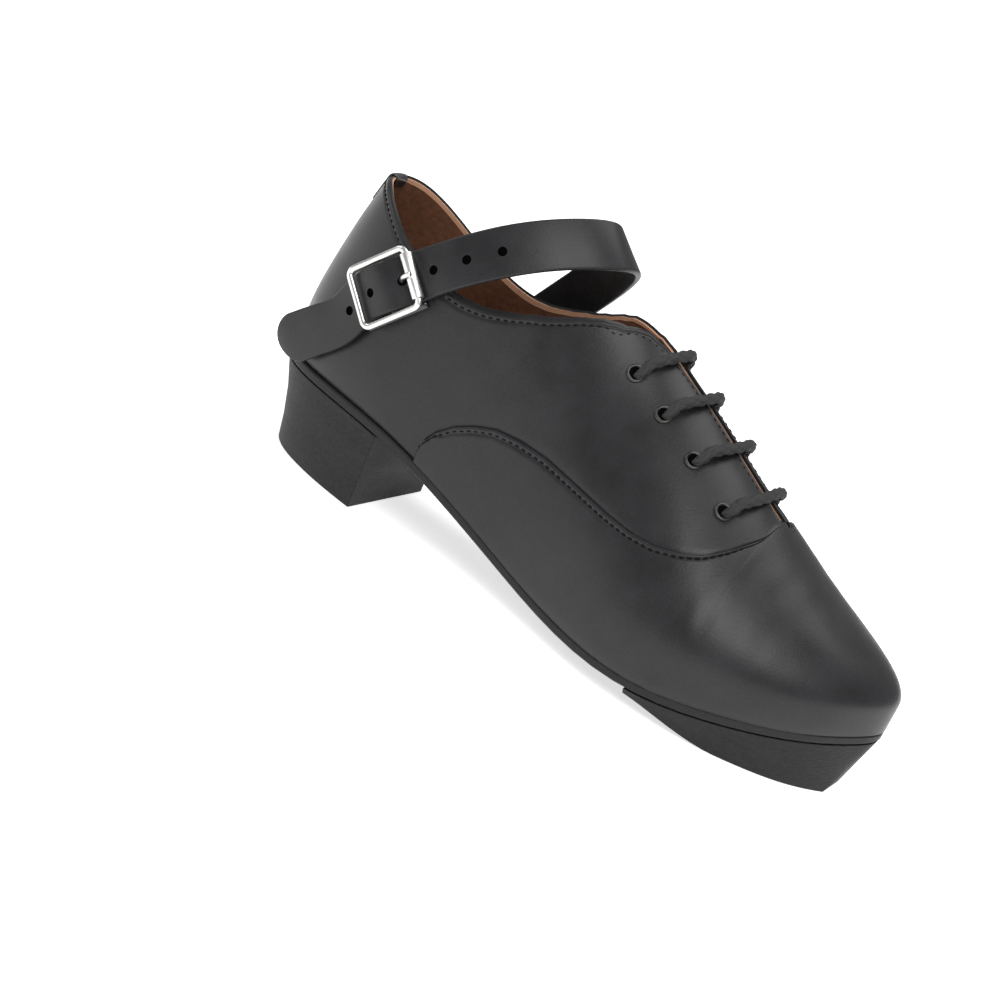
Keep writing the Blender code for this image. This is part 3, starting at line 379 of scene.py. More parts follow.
class Last:
    """The last that the shoe is made on: ribs from the feather line up to the ridge of the instep."""

    def __init__(self) -> None:
        """Works out the outline and the tables that find a rib by its length along the shoe."""
        lateral = [(a * FOOT_LENGTH, -w * BALL_HALF_WIDTH) for a, w, _ in OUTLINE]
        medial = [(a * FOOT_LENGTH, w * BALL_HALF_WIDTH) for a, _, w in OUTLINE]
        toe = (TOE_POINT[0] * FOOT_LENGTH, TOE_POINT[1] * BALL_HALF_WIDTH)
        self.outline = np.array([(0.0, 0.0)] + lateral + [toe] + medial[::-1] + [(0.0, 0.0)])
        chords = np.hypot(*np.diff(self.outline, axis=0).T) ** 0.8
        knots = np.concatenate([[0.0], np.cumsum(chords)])
        self.knots = knots / knots[-1]
        turns = np.linspace(0, 1, 6001)
        along = self.feather_line(turns)[:, 0]
        tip = int(np.argmax(along))
        back = int(np.argmin(np.where(turns < 0.5, along, 1.0)))
        self.tables = {
            Side.LATERAL: (along[back:tip + 1], turns[back:tip + 1]),
            Side.MEDIAL: (along[tip:][::-1], turns[tip:][::-1]),
        }
        self.back_along = float(self.tables[Side.LATERAL][0][0])
        self.toe_along = float(self.tables[Side.LATERAL][0][-1])

    def feather_line(self, turn: np.ndarray) -> np.ndarray:
        """(along, side) on the feather line for turns of 0 to 1."""
        return spline(self.knots, self.outline, np.asarray(turn) % 1.0, closed=True)

    def feather_height(self, along: np.ndarray) -> np.ndarray:
        """Height of the feather line.

        Args:
            along: Lengths along the shoe.

        Returns:
            A height for each length.
        """
        table = np.array(FEATHER)
        rise = table[:, 1] * HEEL_SEAT + table[:, 2] * TOE_SEAT
        return spline(table[:, 0] * FOOT_LENGTH, rise, along)

    def ridge(self, along: np.ndarray) -> np.ndarray:
        """(height, side) of the ridge over the instep at lengths along the shoe."""
        table = np.array(RIDGE) * (FOOT_LENGTH, INSTEP_HEIGHT, BALL_HALF_WIDTH)
        return spline(table[:, 0], table[:, 1:], along)

    def turn_at(self, along: np.ndarray, side: Side) -> np.ndarray:
        """The outline's turn on one side at lengths along the shoe."""
        return np.interp(along, *self.tables[side])

    def points(self, turns: np.ndarray, heights: np.ndarray) -> np.ndarray:
        """Points of the last's surface.

        Args:
            turns: A turn of the outline for each rib.
            heights: Heights from 0 at the feather line to 1 on the ridge, one row for all ribs or for each.

        Returns:
            (along, side, up) for each rib and height.
        """
        turns = np.atleast_1d(turns)
        foot = self.feather_line(turns)
        step = 1e-4
        tangent = self.feather_line(turns + step) - self.feather_line(turns - step)
        tangent /= np.linalg.norm(tangent, axis=1)[:, None]
        outward = np.stack([tangent[:, 1], -tangent[:, 0]], 1)
        along = foot[:, 0]
        table = np.array(FULLNESS) * (FOOT_LENGTH, BALL_HALF_WIDTH, BALL_HALF_WIDTH, 1, 1)
        full = spline(table[:, 0], table[:, 1:], along)
        base = self.feather_height(along)
        out = outward * full[:, :1]
        bulge = np.column_stack([foot + out, base + full[:, 1]])
        share = along / FOOT_LENGTH
        low_bend = POLE_SOFTNESS * np.log1p(np.exp(np.clip((share - HEEL_POLE) / POLE_SOFTNESS, -60, 60)))
        high_bend = POLE_SOFTNESS * np.log1p(np.exp(np.clip((share - TOE_POLE) / POLE_SOFTNESS, -60, 60)))
        top_along = (HEEL_POLE + low_bend - high_bend) * FOOT_LENGTH
        crest = self.ridge(top_along)
        top = np.column_stack([top_along, crest[:, 1], crest[:, 0]])
        fall = (self.ridge(top_along + step)[:, 0] - self.ridge(top_along - step)[:, 0]) / (2 * step)
        spread = bulge[:, :2] - top[:, :2]
        reach = np.linalg.norm(spread, axis=1)
        spread /= reach[:, None]
        lean = np.column_stack([foot + out * 0.9, base + full[:, 1] * 0.25])
        rise = bulge + np.column_stack([0 * reach, 0 * reach, full[:, 2] * (top[:, 2] - bulge[:, 2])])
        shoulder = top + np.column_stack([spread, fall * spread[:, 0]]) * (full[:, 3] * reach)[:, None]
        start = np.column_stack([foot, base])
        rib = (start, lean, bulge, rise, shoulder, top)
        start, lean, bulge, rise, shoulder, top = [point[:, None, :] for point in rib]
        v = np.asarray(heights, float)
        if v.ndim == 1:
            v = np.broadcast_to(v, (turns.size, v.size))
        a = np.clip(v / LOWER_SHARE, 0, 1)[..., None]
        b = np.clip((v - LOWER_SHARE) / (1 - LOWER_SHARE), 0, 1)[..., None]
        low = (1 - a) ** 2 * start + 2 * a * (1 - a) * lean + a**2 * bulge
        high = (1 - b) ** 3 * bulge + 3 * b * (1 - b) ** 2 * rise + 3 * b**2 * (1 - b) * shoulder + b**3 * top
        return np.where(v[..., None] < LOWER_SHARE, low, high)

    def normals(self, turns: np.ndarray, heights: np.ndarray) -> np.ndarray:
        """Outward unit normals of the last's surface.

        Args:
            turns: A turn of the outline for each rib.
            heights: Heights as in points.

        Returns:
            A normal for each rib and height.
        """
        step = 2e-4
        turns = np.atleast_1d(turns)
        v = np.asarray(heights, float)
        if v.ndim == 1:
            v = np.broadcast_to(v, (turns.size, v.size))
        around = self.points(turns + step, v) - self.points(turns - step, v)
        up = self.points(turns, np.clip(v + step, 0, 1)) - self.points(turns, np.clip(v - step, 0, 1))
        normal = np.cross(around, up)
        return normal / np.maximum(np.linalg.norm(normal, axis=2), 1e-12)[..., None]

    def speed(self, turns: np.ndarray, heights: np.ndarray) -> np.ndarray:
        """Metres along a rib for each unit of height.

        Args:
            turns: A turn of the outline for each rib.
            heights: One height for each rib.

        Returns:
            A length for each rib.
        """
        step = 1e-3
        high = np.clip(heights + step, 0, 1)
        low = np.clip(heights - step, 0, 1)
        ends = self.points(turns, np.column_stack([low, high]))
        return np.linalg.norm(ends[:, 1] - ends[:, 0], axis=1) / (high - low)

    def beside_ridge(self, along: float, distance: float, side: Side) -> tuple[np.ndarray, np.ndarray]:
        """Point and outward normal at a distance from the ridge.

        Args:
            along: Length along the shoe.
            distance: Sideways distance from the ridge.
            side: Side of the shoe.

        Returns:
            The point and the normal, both (along, side, up).
        """
        turn = self.turn_at(np.array([along]), side)
        heights = np.linspace(0.3, 1, 701)
        points = self.points(turn, heights)
        crest = self.ridge(points[0, :, 0])[:, 1]
        v = first_crossing((distance - np.abs(points[0, :, 1] - crest))[None], heights)
        v = np.minimum(v, 0.999)[:, None]
        return self.points(turn, v)[0, 0], self.normals(turn, v)[0, 0]

    def on_quarter(self, along: float, up: float, side: Side) -> tuple[np.ndarray, np.ndarray]:
        """Point and outward normal on one side of the shoe.

        Args:
            along: Length along the shoe.
            up: Height over the floor.
            side: Side of the shoe.

        Returns:
            The point and the normal, both (along, side, up).
        """
        stations = np.clip(along + np.linspace(-0.03, 0.03, 61), self.back_along, self.toe_along)
        turns = self.turn_at(stations, side)
        heights = np.linspace(0.05, 0.999, 400)
        v = first_crossing(self.points(turns, heights)[..., 2] - up, heights)
        found = self.points(turns, v[:, None])[:, 0, 0]
        order = np.argsort(found)
        turn = np.array([np.interp(along, found[order], turns[order])])
        height = np.array([[np.interp(along, found[order], v[order])]])
        return self.points(turn, height)[0, 0], self.normals(turn, height)[0, 0]

    def top_edges(self, turns: np.ndarray) -> tuple[np.ndarray, np.ndarray, np.ndarray, np.ndarray]:
        """The leather's edges on each rib.

        Args:
            turns: A turn of the outline for each rib.

        Returns:
            Heights of the top edge and of the vamp's seam, and whether a rib is behind the vamp or all vamp.
        """
        heights = np.linspace(0, 1, 801)
        points = self.points(turns, heights)
        along, side, up = points[..., 0], points[..., 1], points[..., 2]
        shape = along.shape
        crest = self.ridge(np.ravel(along))[:, 1].reshape(shape)
        collar = np.array(COLLAR) * (FOOT_LENGTH, COLLAR_BACK)
        collar_up = spline(collar[:, 0], collar[:, 1], np.clip(np.ravel(along), collar[0, 0], collar[-1, 0]))
        over_collar = np.where(along < 0.5 * FOOT_LENGTH, up - collar_up.reshape(shape), -1.0)
        facing = np.array(FACING) * (FOOT_LENGTH, FACING_GAP)
        far = np.array(FACING_MEDIAL) * (FOOT_LENGTH, FACING_GAP)
        gap = np.interp(along, facing[:, 0], facing[:, 1])
        gap = np.where(side > crest, np.interp(along, far[:, 0], far[:, 1]), gap)
        beside = (along > facing[0, 0]) & (along < THROAT_BASE)
        in_gap = np.where(beside, gap - np.abs(side - crest), -1.0)
        top = first_crossing(np.maximum(over_collar, in_gap), heights)
        wing = np.array(SEAM) * (THROAT_BASE, INSTEP_HEIGHT)
        seam = first_crossing(up - np.interp(along, wing[:, 0], wing[:, 1]), heights)
        foot = self.feather_line(turns)[:, 0]
        behind = foot < wing[0, 0]
        seam = np.where(behind, REAR_SEAM[0] + REAR_SEAM[1] * (1 - foot / wing[0, 0]), seam)
        ahead = (foot > THROAT_BASE) | (seam > top - LEAST_QUARTER)
        toe_share = np.clip((foot - THROAT_BASE) / (self.toe_along - THROAT_BASE), 0, 1)
        seam = np.where(ahead, (top - LEAST_QUARTER) * (1 - TOE_SINK * toe_share), seam)
        return top, seam, behind, ahead

    def soft_top(self, turns: np.ndarray) -> np.ndarray:
        """The top edge with its corners rounded on each side of the shoe.

        Args:
            turns: A turn of the outline for each rib.

        Returns:
            A height for each rib.
        """
        top, _, _, ahead = self.top_edges(turns)
        foot = self.feather_line(turns)
        for half in (foot[:, 1] <= 0, foot[:, 1] > 0):
            at = np.nonzero(half)[0]
            if at.size > 2:
                top[at] = soften(foot[at, 0], top[at], ~ahead[at] & (top[at] < CROWN))
        return top

    def edge_path(self, inset: float) -> tuple[np.ndarray, np.ndarray]:
        """A line beside the collar and the facings, from the lateral throat round the back to the medial one.

        Args:
            inset: Distance below the edge.

        Returns:
            Points and outward normals in the shoe's frame.
        """
        stations = np.linspace(self.back_along + 0.0005, THROAT_BASE - 0.004, 260)
        lateral = self.turn_at(stations[::-1], Side.LATERAL)
        turns = np.concatenate([lateral, self.turn_at(stations, Side.MEDIAL)])
        top = self.soft_top(turns)
        v = (top - inset / self.speed(turns, top))[:, None]
        points = self.points(turns, v)[:, 0]
        normals = self.normals(turns, v)[:, 0]
        return world(points), world_vector(normals)

    def seam_path(self, side: Side, inset: float) -> tuple[np.ndarray, np.ndarray]:
        """A line on the vamp beside its edge, from the sole to the throat.

        Args:
            side: Side of the shoe.
            inset: Distance inside the vamp's edge.

        Returns:
            Points and outward normals in the shoe's frame.
        """
        wing = np.array(SEAM) * (THROAT_BASE, INSTEP_HEIGHT)
        stations = np.linspace(wing[0, 0] + 0.0015, THROAT_BASE - 0.003, 240)
        turns = self.turn_at(stations, side)
        top, seam, _, ahead = self.top_edges(turns)
        keep = ~ahead & (seam < top)
        turns = turns[keep]
        seam = seam[keep]
        v = (seam - inset / self.speed(turns, seam))[:, None]
        normals = self.normals(turns, v)[:, 0]
        return world(self.points(turns, v)[:, 0] + normals * VAMP_STEP), world_vector(normals)


class Pattern(Enum):
    """Surface patterns that a finish can carry."""

    LEATHER = "leather"
    FIBRE = "fibre"
    METAL = "metal"
    THREAD = "thread"


class NodeSheet:
    """The node tree of one new material."""

    def __init__(self, name: str) -> None:
        """Starts a material with its shader.

        Args:
            name: The material's name.
        """
        self.material = bpy.data.materials.new(name)
        self.material.use_nodes = True
        self.tree = self.material.node_tree
        self.shader = self.tree.nodes["Principled BSDF"]

    def fill(self, node: bpy.types.Node, values: dict[str | int, object]) -> None:
        """Sets or links a node's inputs.

        Args:
            node: The node.
            values: Its inputs by name or number, as numbers or as sockets to link.
        """
        for key, value in values.items():
            if isinstance(value, bpy.types.NodeSocket):
                self.tree.links.new(value, node.inputs[key])
            else:
                node.inputs[key].default_value = value

    def add(self, kind: str, values: dict[str | int, object], **settings: str) -> bpy.types.Node:
        """Adds a node.

        Args:
            kind: Its type after the word ShaderNode.
            values: Its inputs, as numbers or as sockets to link.
            **settings: Its own settings.

        Returns:
            The node.
        """
        node = self.tree.nodes.new("ShaderNode" + kind)
        for key, value in settings.items():
            setattr(node, key, value)
        self.fill(node, values)
        return node


@dataclass(frozen=True)
class Finish:
    """One finish: two colours, its gloss and its relief."""

    name: str
    slot: str
    dark: tuple[float, float, float]
    light: tuple[float, float, float]
    roughness: tuple[float, float]
    pattern: Pattern
    grain: float
    relief: float
    metallic: float = 0.0
    coat: float = 0.0
    specular: float = 0.5
    stretch: tuple[float, float, float] = (1.0, 1.0, 1.0)

    def material(self) -> bpy.types.Material:
        """The finish as a node material, made once.

        Returns:
            The material, with its pattern on Object coordinates.
        """
        if self.name in bpy.data.materials:
            return bpy.data.materials[self.name]
        sheet = NodeSheet(self.name)
        place = sheet.add("TexCoord", {}).outputs["Object"]
        place = sheet.add("Mapping", {"Vector": place, "Scale": self.stretch}).outputs["Vector"]
        clouds = {"Vector": place, "Scale": self.grain * CLOUD_SCALE, "Detail": 5.0}
        broad = sheet.add("TexNoise", clouds).outputs["Fac"]
        fine = sheet.add("TexNoise", {"Vector": place, "Scale": self.grain, "Detail": 3.0}).outputs["Fac"]
        share = sheet.add("Math", {0: broad, 1: 1 - FINE_SHARE}, operation="MULTIPLY").outputs[0]
        blend = sheet.add("Math", {0: fine, 1: FINE_SHARE, 2: share}, operation="MULTIPLY_ADD").outputs[0]
        ramp = sheet.add("ValToRGB", {"Fac": blend})
        for element, position, colour in zip(ramp.color_ramp.elements, COLOUR_STOPS, (self.dark, self.light)):
            element.position = position
            element.color = (*colour, 1.0)
        gloss = sheet.add("MapRange", {"Value": broad, "From Min": GLOSS_STOPS[0], "From Max": GLOSS_STOPS[1],
                                       "To Min": self.roughness[0], "To Max": self.roughness[1]})
        height = fine
        if self.pattern is Pattern.LEATHER:
            pores = sheet.add("TexVoronoi", {"Vector": place, "Scale": self.grain * 0.8}, feature="SMOOTH_F1")
            mixed = {0: pores.outputs["Distance"], 1: 0.7, 2: fine}
            height = sheet.add("Math", mixed, operation="MULTIPLY_ADD").outputs[0]
        if self.pattern is Pattern.THREAD:
            twist = {"Vector": place, "Scale": self.grain * 0.6, "Distortion": 2.0}
            height = sheet.add("TexWave", twist).outputs["Fac"]
        bump = sheet.add("Bump", {"Strength": BUMP_STRENGTH, "Distance": self.relief, "Height": height})
        sheet.fill(sheet.shader, {
            "Base Color": ramp.outputs["Color"],
            "Roughness": gloss.outputs["Result"],
            "Metallic": self.metallic,
            "Coat Weight": self.coat,
            "Coat Roughness": COAT_ROUGHNESS,
            "Specular IOR Level": self.specular,
            "Normal": bump.outputs["Normal"],
        })
        return sheet.material


BLACK_LEATHER = Finish("black_smooth_leather", "black_leather", (0.010, 0.010, 0.011), (0.019, 0.019, 0.021),
                       (0.34, 0.44), Pattern.LEATHER, 1500, 0.00006, coat=0.06, specular=0.30)
STRAP_LEATHER = Finish("black_strap_leather", "black_leather", (0.009, 0.009, 0.010), (0.017, 0.017, 0.019),
                       (0.36, 0.46), Pattern.LEATHER, 1700, 0.00006, coat=0.05, specular=0.30)
GLOSSY_TRIM = Finish("glossy_black_trim", "black_leather", (0.008, 0.008, 0.010), (0.014, 0.014, 0.017),
                     (0.16, 0.24), Pattern.LEATHER, 1300, 0.00003, coat=0.5)
LINING = Finish("brown_lining", "tan_lining", (0.075, 0.028, 0.013), (0.17, 0.070, 0.032),
                (0.50, 0.62), Pattern.LEATHER, 500, 0.00030)
RAW_EDGE = Finish("peach_cut_edge", "tan_lining", (0.52, 0.27, 0.16), (0.66, 0.37, 0.23),
                  (0.62, 0.75), Pattern.FIBRE, 1500, 0.00008)
SOLE = Finish("black_sole_leather", "sole_leather", (0.008, 0.008, 0.008), (0.015, 0.015, 0.015),
              (0.48, 0.60), Pattern.FIBRE, 1400, 0.00008, specular=0.3)
HARD_BLOCK = Finish("black_hard_fibre", "hard_block", (0.004, 0.004, 0.004), (0.024, 0.024, 0.026),
                    (0.55, 0.72), Pattern.FIBRE, 1500, 0.00035, specular=0.30, stretch=(0.35, 0.35, 1.5))
FOOTBED = Finish("tan_footbed", "tan_lining", (0.16, 0.085, 0.045), (0.27, 0.15, 0.085),
                 (0.60, 0.72), Pattern.LEATHER, 700, 0.00012)
BRAID = Finish("black_braid", "black_braid", (0.003, 0.003, 0.003), (0.008, 0.008, 0.009),
               (0.70, 0.85), Pattern.THREAD, 2600, 0.00008, specular=0.04)
STITCH = Finish("black_stitching", "black_braid", (0.002, 0.002, 0.002), (0.005, 0.005, 0.005),
                (0.70, 0.80), Pattern.THREAD, 4000, 0.00004, specular=0.15)
EYELET_METAL = Finish("black_lacquered_metal", "black_metal", (0.030, 0.029, 0.027), (0.055, 0.053, 0.049),
                      (0.26, 0.36), Pattern.METAL, 900, 0.00002, metallic=0.7, coat=0.3)
# Painted shade: a flat black with no reflection, put in the eyelets' holes and on the walls of the strap's
# holes, where the holes lie in shadow.
PAINTED_HOLE_SHADE = Finish("painted_hole_shade", "black_metal", (0.002, 0.002, 0.002), (0.003, 0.003, 0.003),
                   (0.9, 0.95), Pattern.METAL, 900, 0.00001, specular=0.0)
SILVER = Finish("bright_silver", "silver", (0.62, 0.61, 0.59), (0.78, 0.77, 0.75),
                (0.22, 0.32), Pattern.METAL, 700, 0.00002, metallic=1.0)


def dress(item: bpy.types.Object, finishes: Sequence[Finish], nodes: Sequence[str] = ()) -> bpy.types.Object:
    """Gives a piece its materials, its body and the nodes that it stands for.

    Args:
        item: The piece.
        finishes: Its finishes in order.
        nodes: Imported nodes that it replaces.

    Returns:
        The same piece.
    """
    marks = np.zeros(len(item.data.polygons), np.int32)
    item.data.polygons.foreach_get("material_index", marks)
    item.data.materials.clear()
    for finish in finishes:
        item.data.materials.append(finish.material())
    item.data.polygons.foreach_set("material_index", np.minimum(marks, len(finishes) - 1))
    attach(item, "root")
    if nodes:
        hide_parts(*nodes)
    LOG.info("%s: %d faces", item.name, len(item.data.polygons))
    return item


def from_bmesh(name: str, mesh: bmesh.types.BMesh, recalculate: bool = True,
               angle: float = 40.0) -> bpy.types.Object:
    """A smooth-shaded object from a bmesh.

    Args:
        name: The piece's name.
        mesh: Its bmesh, which is freed.
        recalculate: True where the faces still have to be turned outwards.
        angle: Edges sharper than this many degrees stay sharp.

    Returns:
        The object, linked to the scene.
    """
    if recalculate:
        bmesh.ops.recalc_face_normals(mesh, faces=mesh.faces)
    data = bpy.data.meshes.new(name)
    mesh.to_mesh(data)
    mesh.free()
    data.shade_smooth()
    data.set_sharp_from_angle(angle=math.radians(angle))
    item = bpy.data.objects.new(name, data)
    bpy.context.scene.collection.objects.link(item)
    return item


def select_only(item: bpy.types.Object) -> None:
    """Selects one piece and makes it active.

    Args:
        item: The piece.
    """
    bpy.ops.object.select_all(action="DESELECT")
    item.select_set(True)
    bpy.context.view_layer.objects.active = item


def thicken(item: bpy.types.Object, thickness: float) -> None:
    """Gives a single surface its thickness inwards.

    Args:
        item: The piece.
        thickness: Its leather's thickness.
    """
    select_only(item)
    wall = item.modifiers.new("thickness", "SOLIDIFY")
    wall.thickness = thickness
    wall.offset = -1
    bpy.ops.object.modifier_apply(modifier=wall.name)


def settle(item: bpy.types.Object, name: str) -> bpy.types.Object:
    """Names a new primitive and puts its place into its mesh.

    Args:
        item: The primitive.
        name: Its name.

    Returns:
        The same object.
    """
    item.name = name
    item.data.name = name
    select_only(item)
    bpy.ops.object.transform_apply(location=True, rotation=True, scale=True)
    return item


def rounded_copy(node: str, name: str, finishes: Sequence[Finish], width: float,
                 angle: float) -> bpy.types.Object:
    """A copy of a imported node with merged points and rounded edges.

    Args:
        node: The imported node.
        name: The new piece's name.
        finishes: Its finishes.
        width: Width of the rounding, 0 for none.
        angle: Edges sharper than this many degrees are rounded.

    Returns:
        The piece, which replaces the node.
    """
    source = frame["nodes"][node]
    mesh = bmesh.new()
    mesh.from_mesh(source.data)
    mesh.transform(source.matrix_world)
    bmesh.ops.remove_doubles(mesh, verts=mesh.verts, dist=1e-6)
    bmesh.ops.dissolve_limit(mesh, angle_limit=math.radians(0.5), verts=mesh.verts, edges=mesh.edges)
    item = from_bmesh(name, mesh, recalculate=False, angle=angle)
    if width:
        select_only(item)
        bevel = item.modifiers.new("rounding", "BEVEL")
        bevel.width = width
        bevel.segments = 3
        bevel.limit_method = "ANGLE"
        bevel.angle_limit = math.radians(angle)
        bevel.harden_normals = True
        bpy.ops.object.modifier_apply(modifier=bevel.name)
    return dress(item, finishes, [node])


def bridge(mesh: bmesh.types.BMesh, rows: Sequence[Sequence[bmesh.types.BMVert]], closed: bool = True,
           ends: bool = False) -> None:
    """Joins rows of points with faces.

    Args:
        mesh: The bmesh.
        rows: Rows with the same number of points.
        closed: True where each row is a ring.
        ends: True where the first and last ring get a face.
    """
    count = len(rows[0])
    for first, second in zip(rows, rows[1:]):
        for k in range(count if closed else count - 1):
            m = (k + 1) % count
            mesh.faces.new((first[k], first[m], second[m], second[k]))
    if ends:
        mesh.faces.new(rows[0][::-1])
        mesh.faces.new(rows[-1])


def tongue_copy() -> bpy.types.Object:
    """A finer copy of the tongue whose top end rolls down into the shoe.

    Returns:
        The tongue, which replaces its node.
    """
    item = rounded_copy("tongue", "tongue_leather", [BLACK_LEATHER], 0.0, 55)
    top = max(vert.co.y for vert in item.data.vertices)
    for vert in item.data.vertices:
        share = min(1.0, max(0.0, 1 - (top - vert.co.y) / TONGUE_ROLL))
        vert.co.z -= TONGUE_DROP * share * share
    return item


def tube(mesh: bmesh.types.BMesh, path: np.ndarray, radius: np.ndarray, up: np.ndarray, closed: bool = False,
         flat: float = 1.0) -> None:
    """Adds a round bar along a path to a bmesh.

    Args:
        mesh: The bmesh.
        path: Points in the shoe's frame.
        radius: A radius for each point.
        up: Outward direction for each point, or one for all.
        closed: True for a ring.
        flat: Height of the section as a share of its width.
    """
    path = np.asarray(path, float)
    count = len(path)
    up = np.broadcast_to(np.asarray(up, float), path.shape)
    radius = np.broadcast_to(np.asarray(radius, float), (count,))
    if closed:
        tangent = np.roll(path, -1, 0) - np.roll(path, 1, 0)
    else:
        tangent = np.gradient(path, axis=0)
    tangent /= np.linalg.norm(tangent, axis=1)[:, None]
    across = np.cross(up, tangent)
    across /= np.linalg.norm(across, axis=1)[:, None]
    over = np.cross(tangent, across)
    turns = np.linspace(0, 2 * np.pi, ROD, endpoint=False)
    wide = np.cos(turns)[:, None]
    high = flat * np.sin(turns)[:, None]
    rings = []
    for i in range(count):
        ring = path[i] + radius[i] * (wide * across[i] + high * over[i])
        rings.append([mesh.verts.new(p) for p in ring])
    bridge(mesh, [*rings, rings[0]] if closed else rings, ends=not closed)


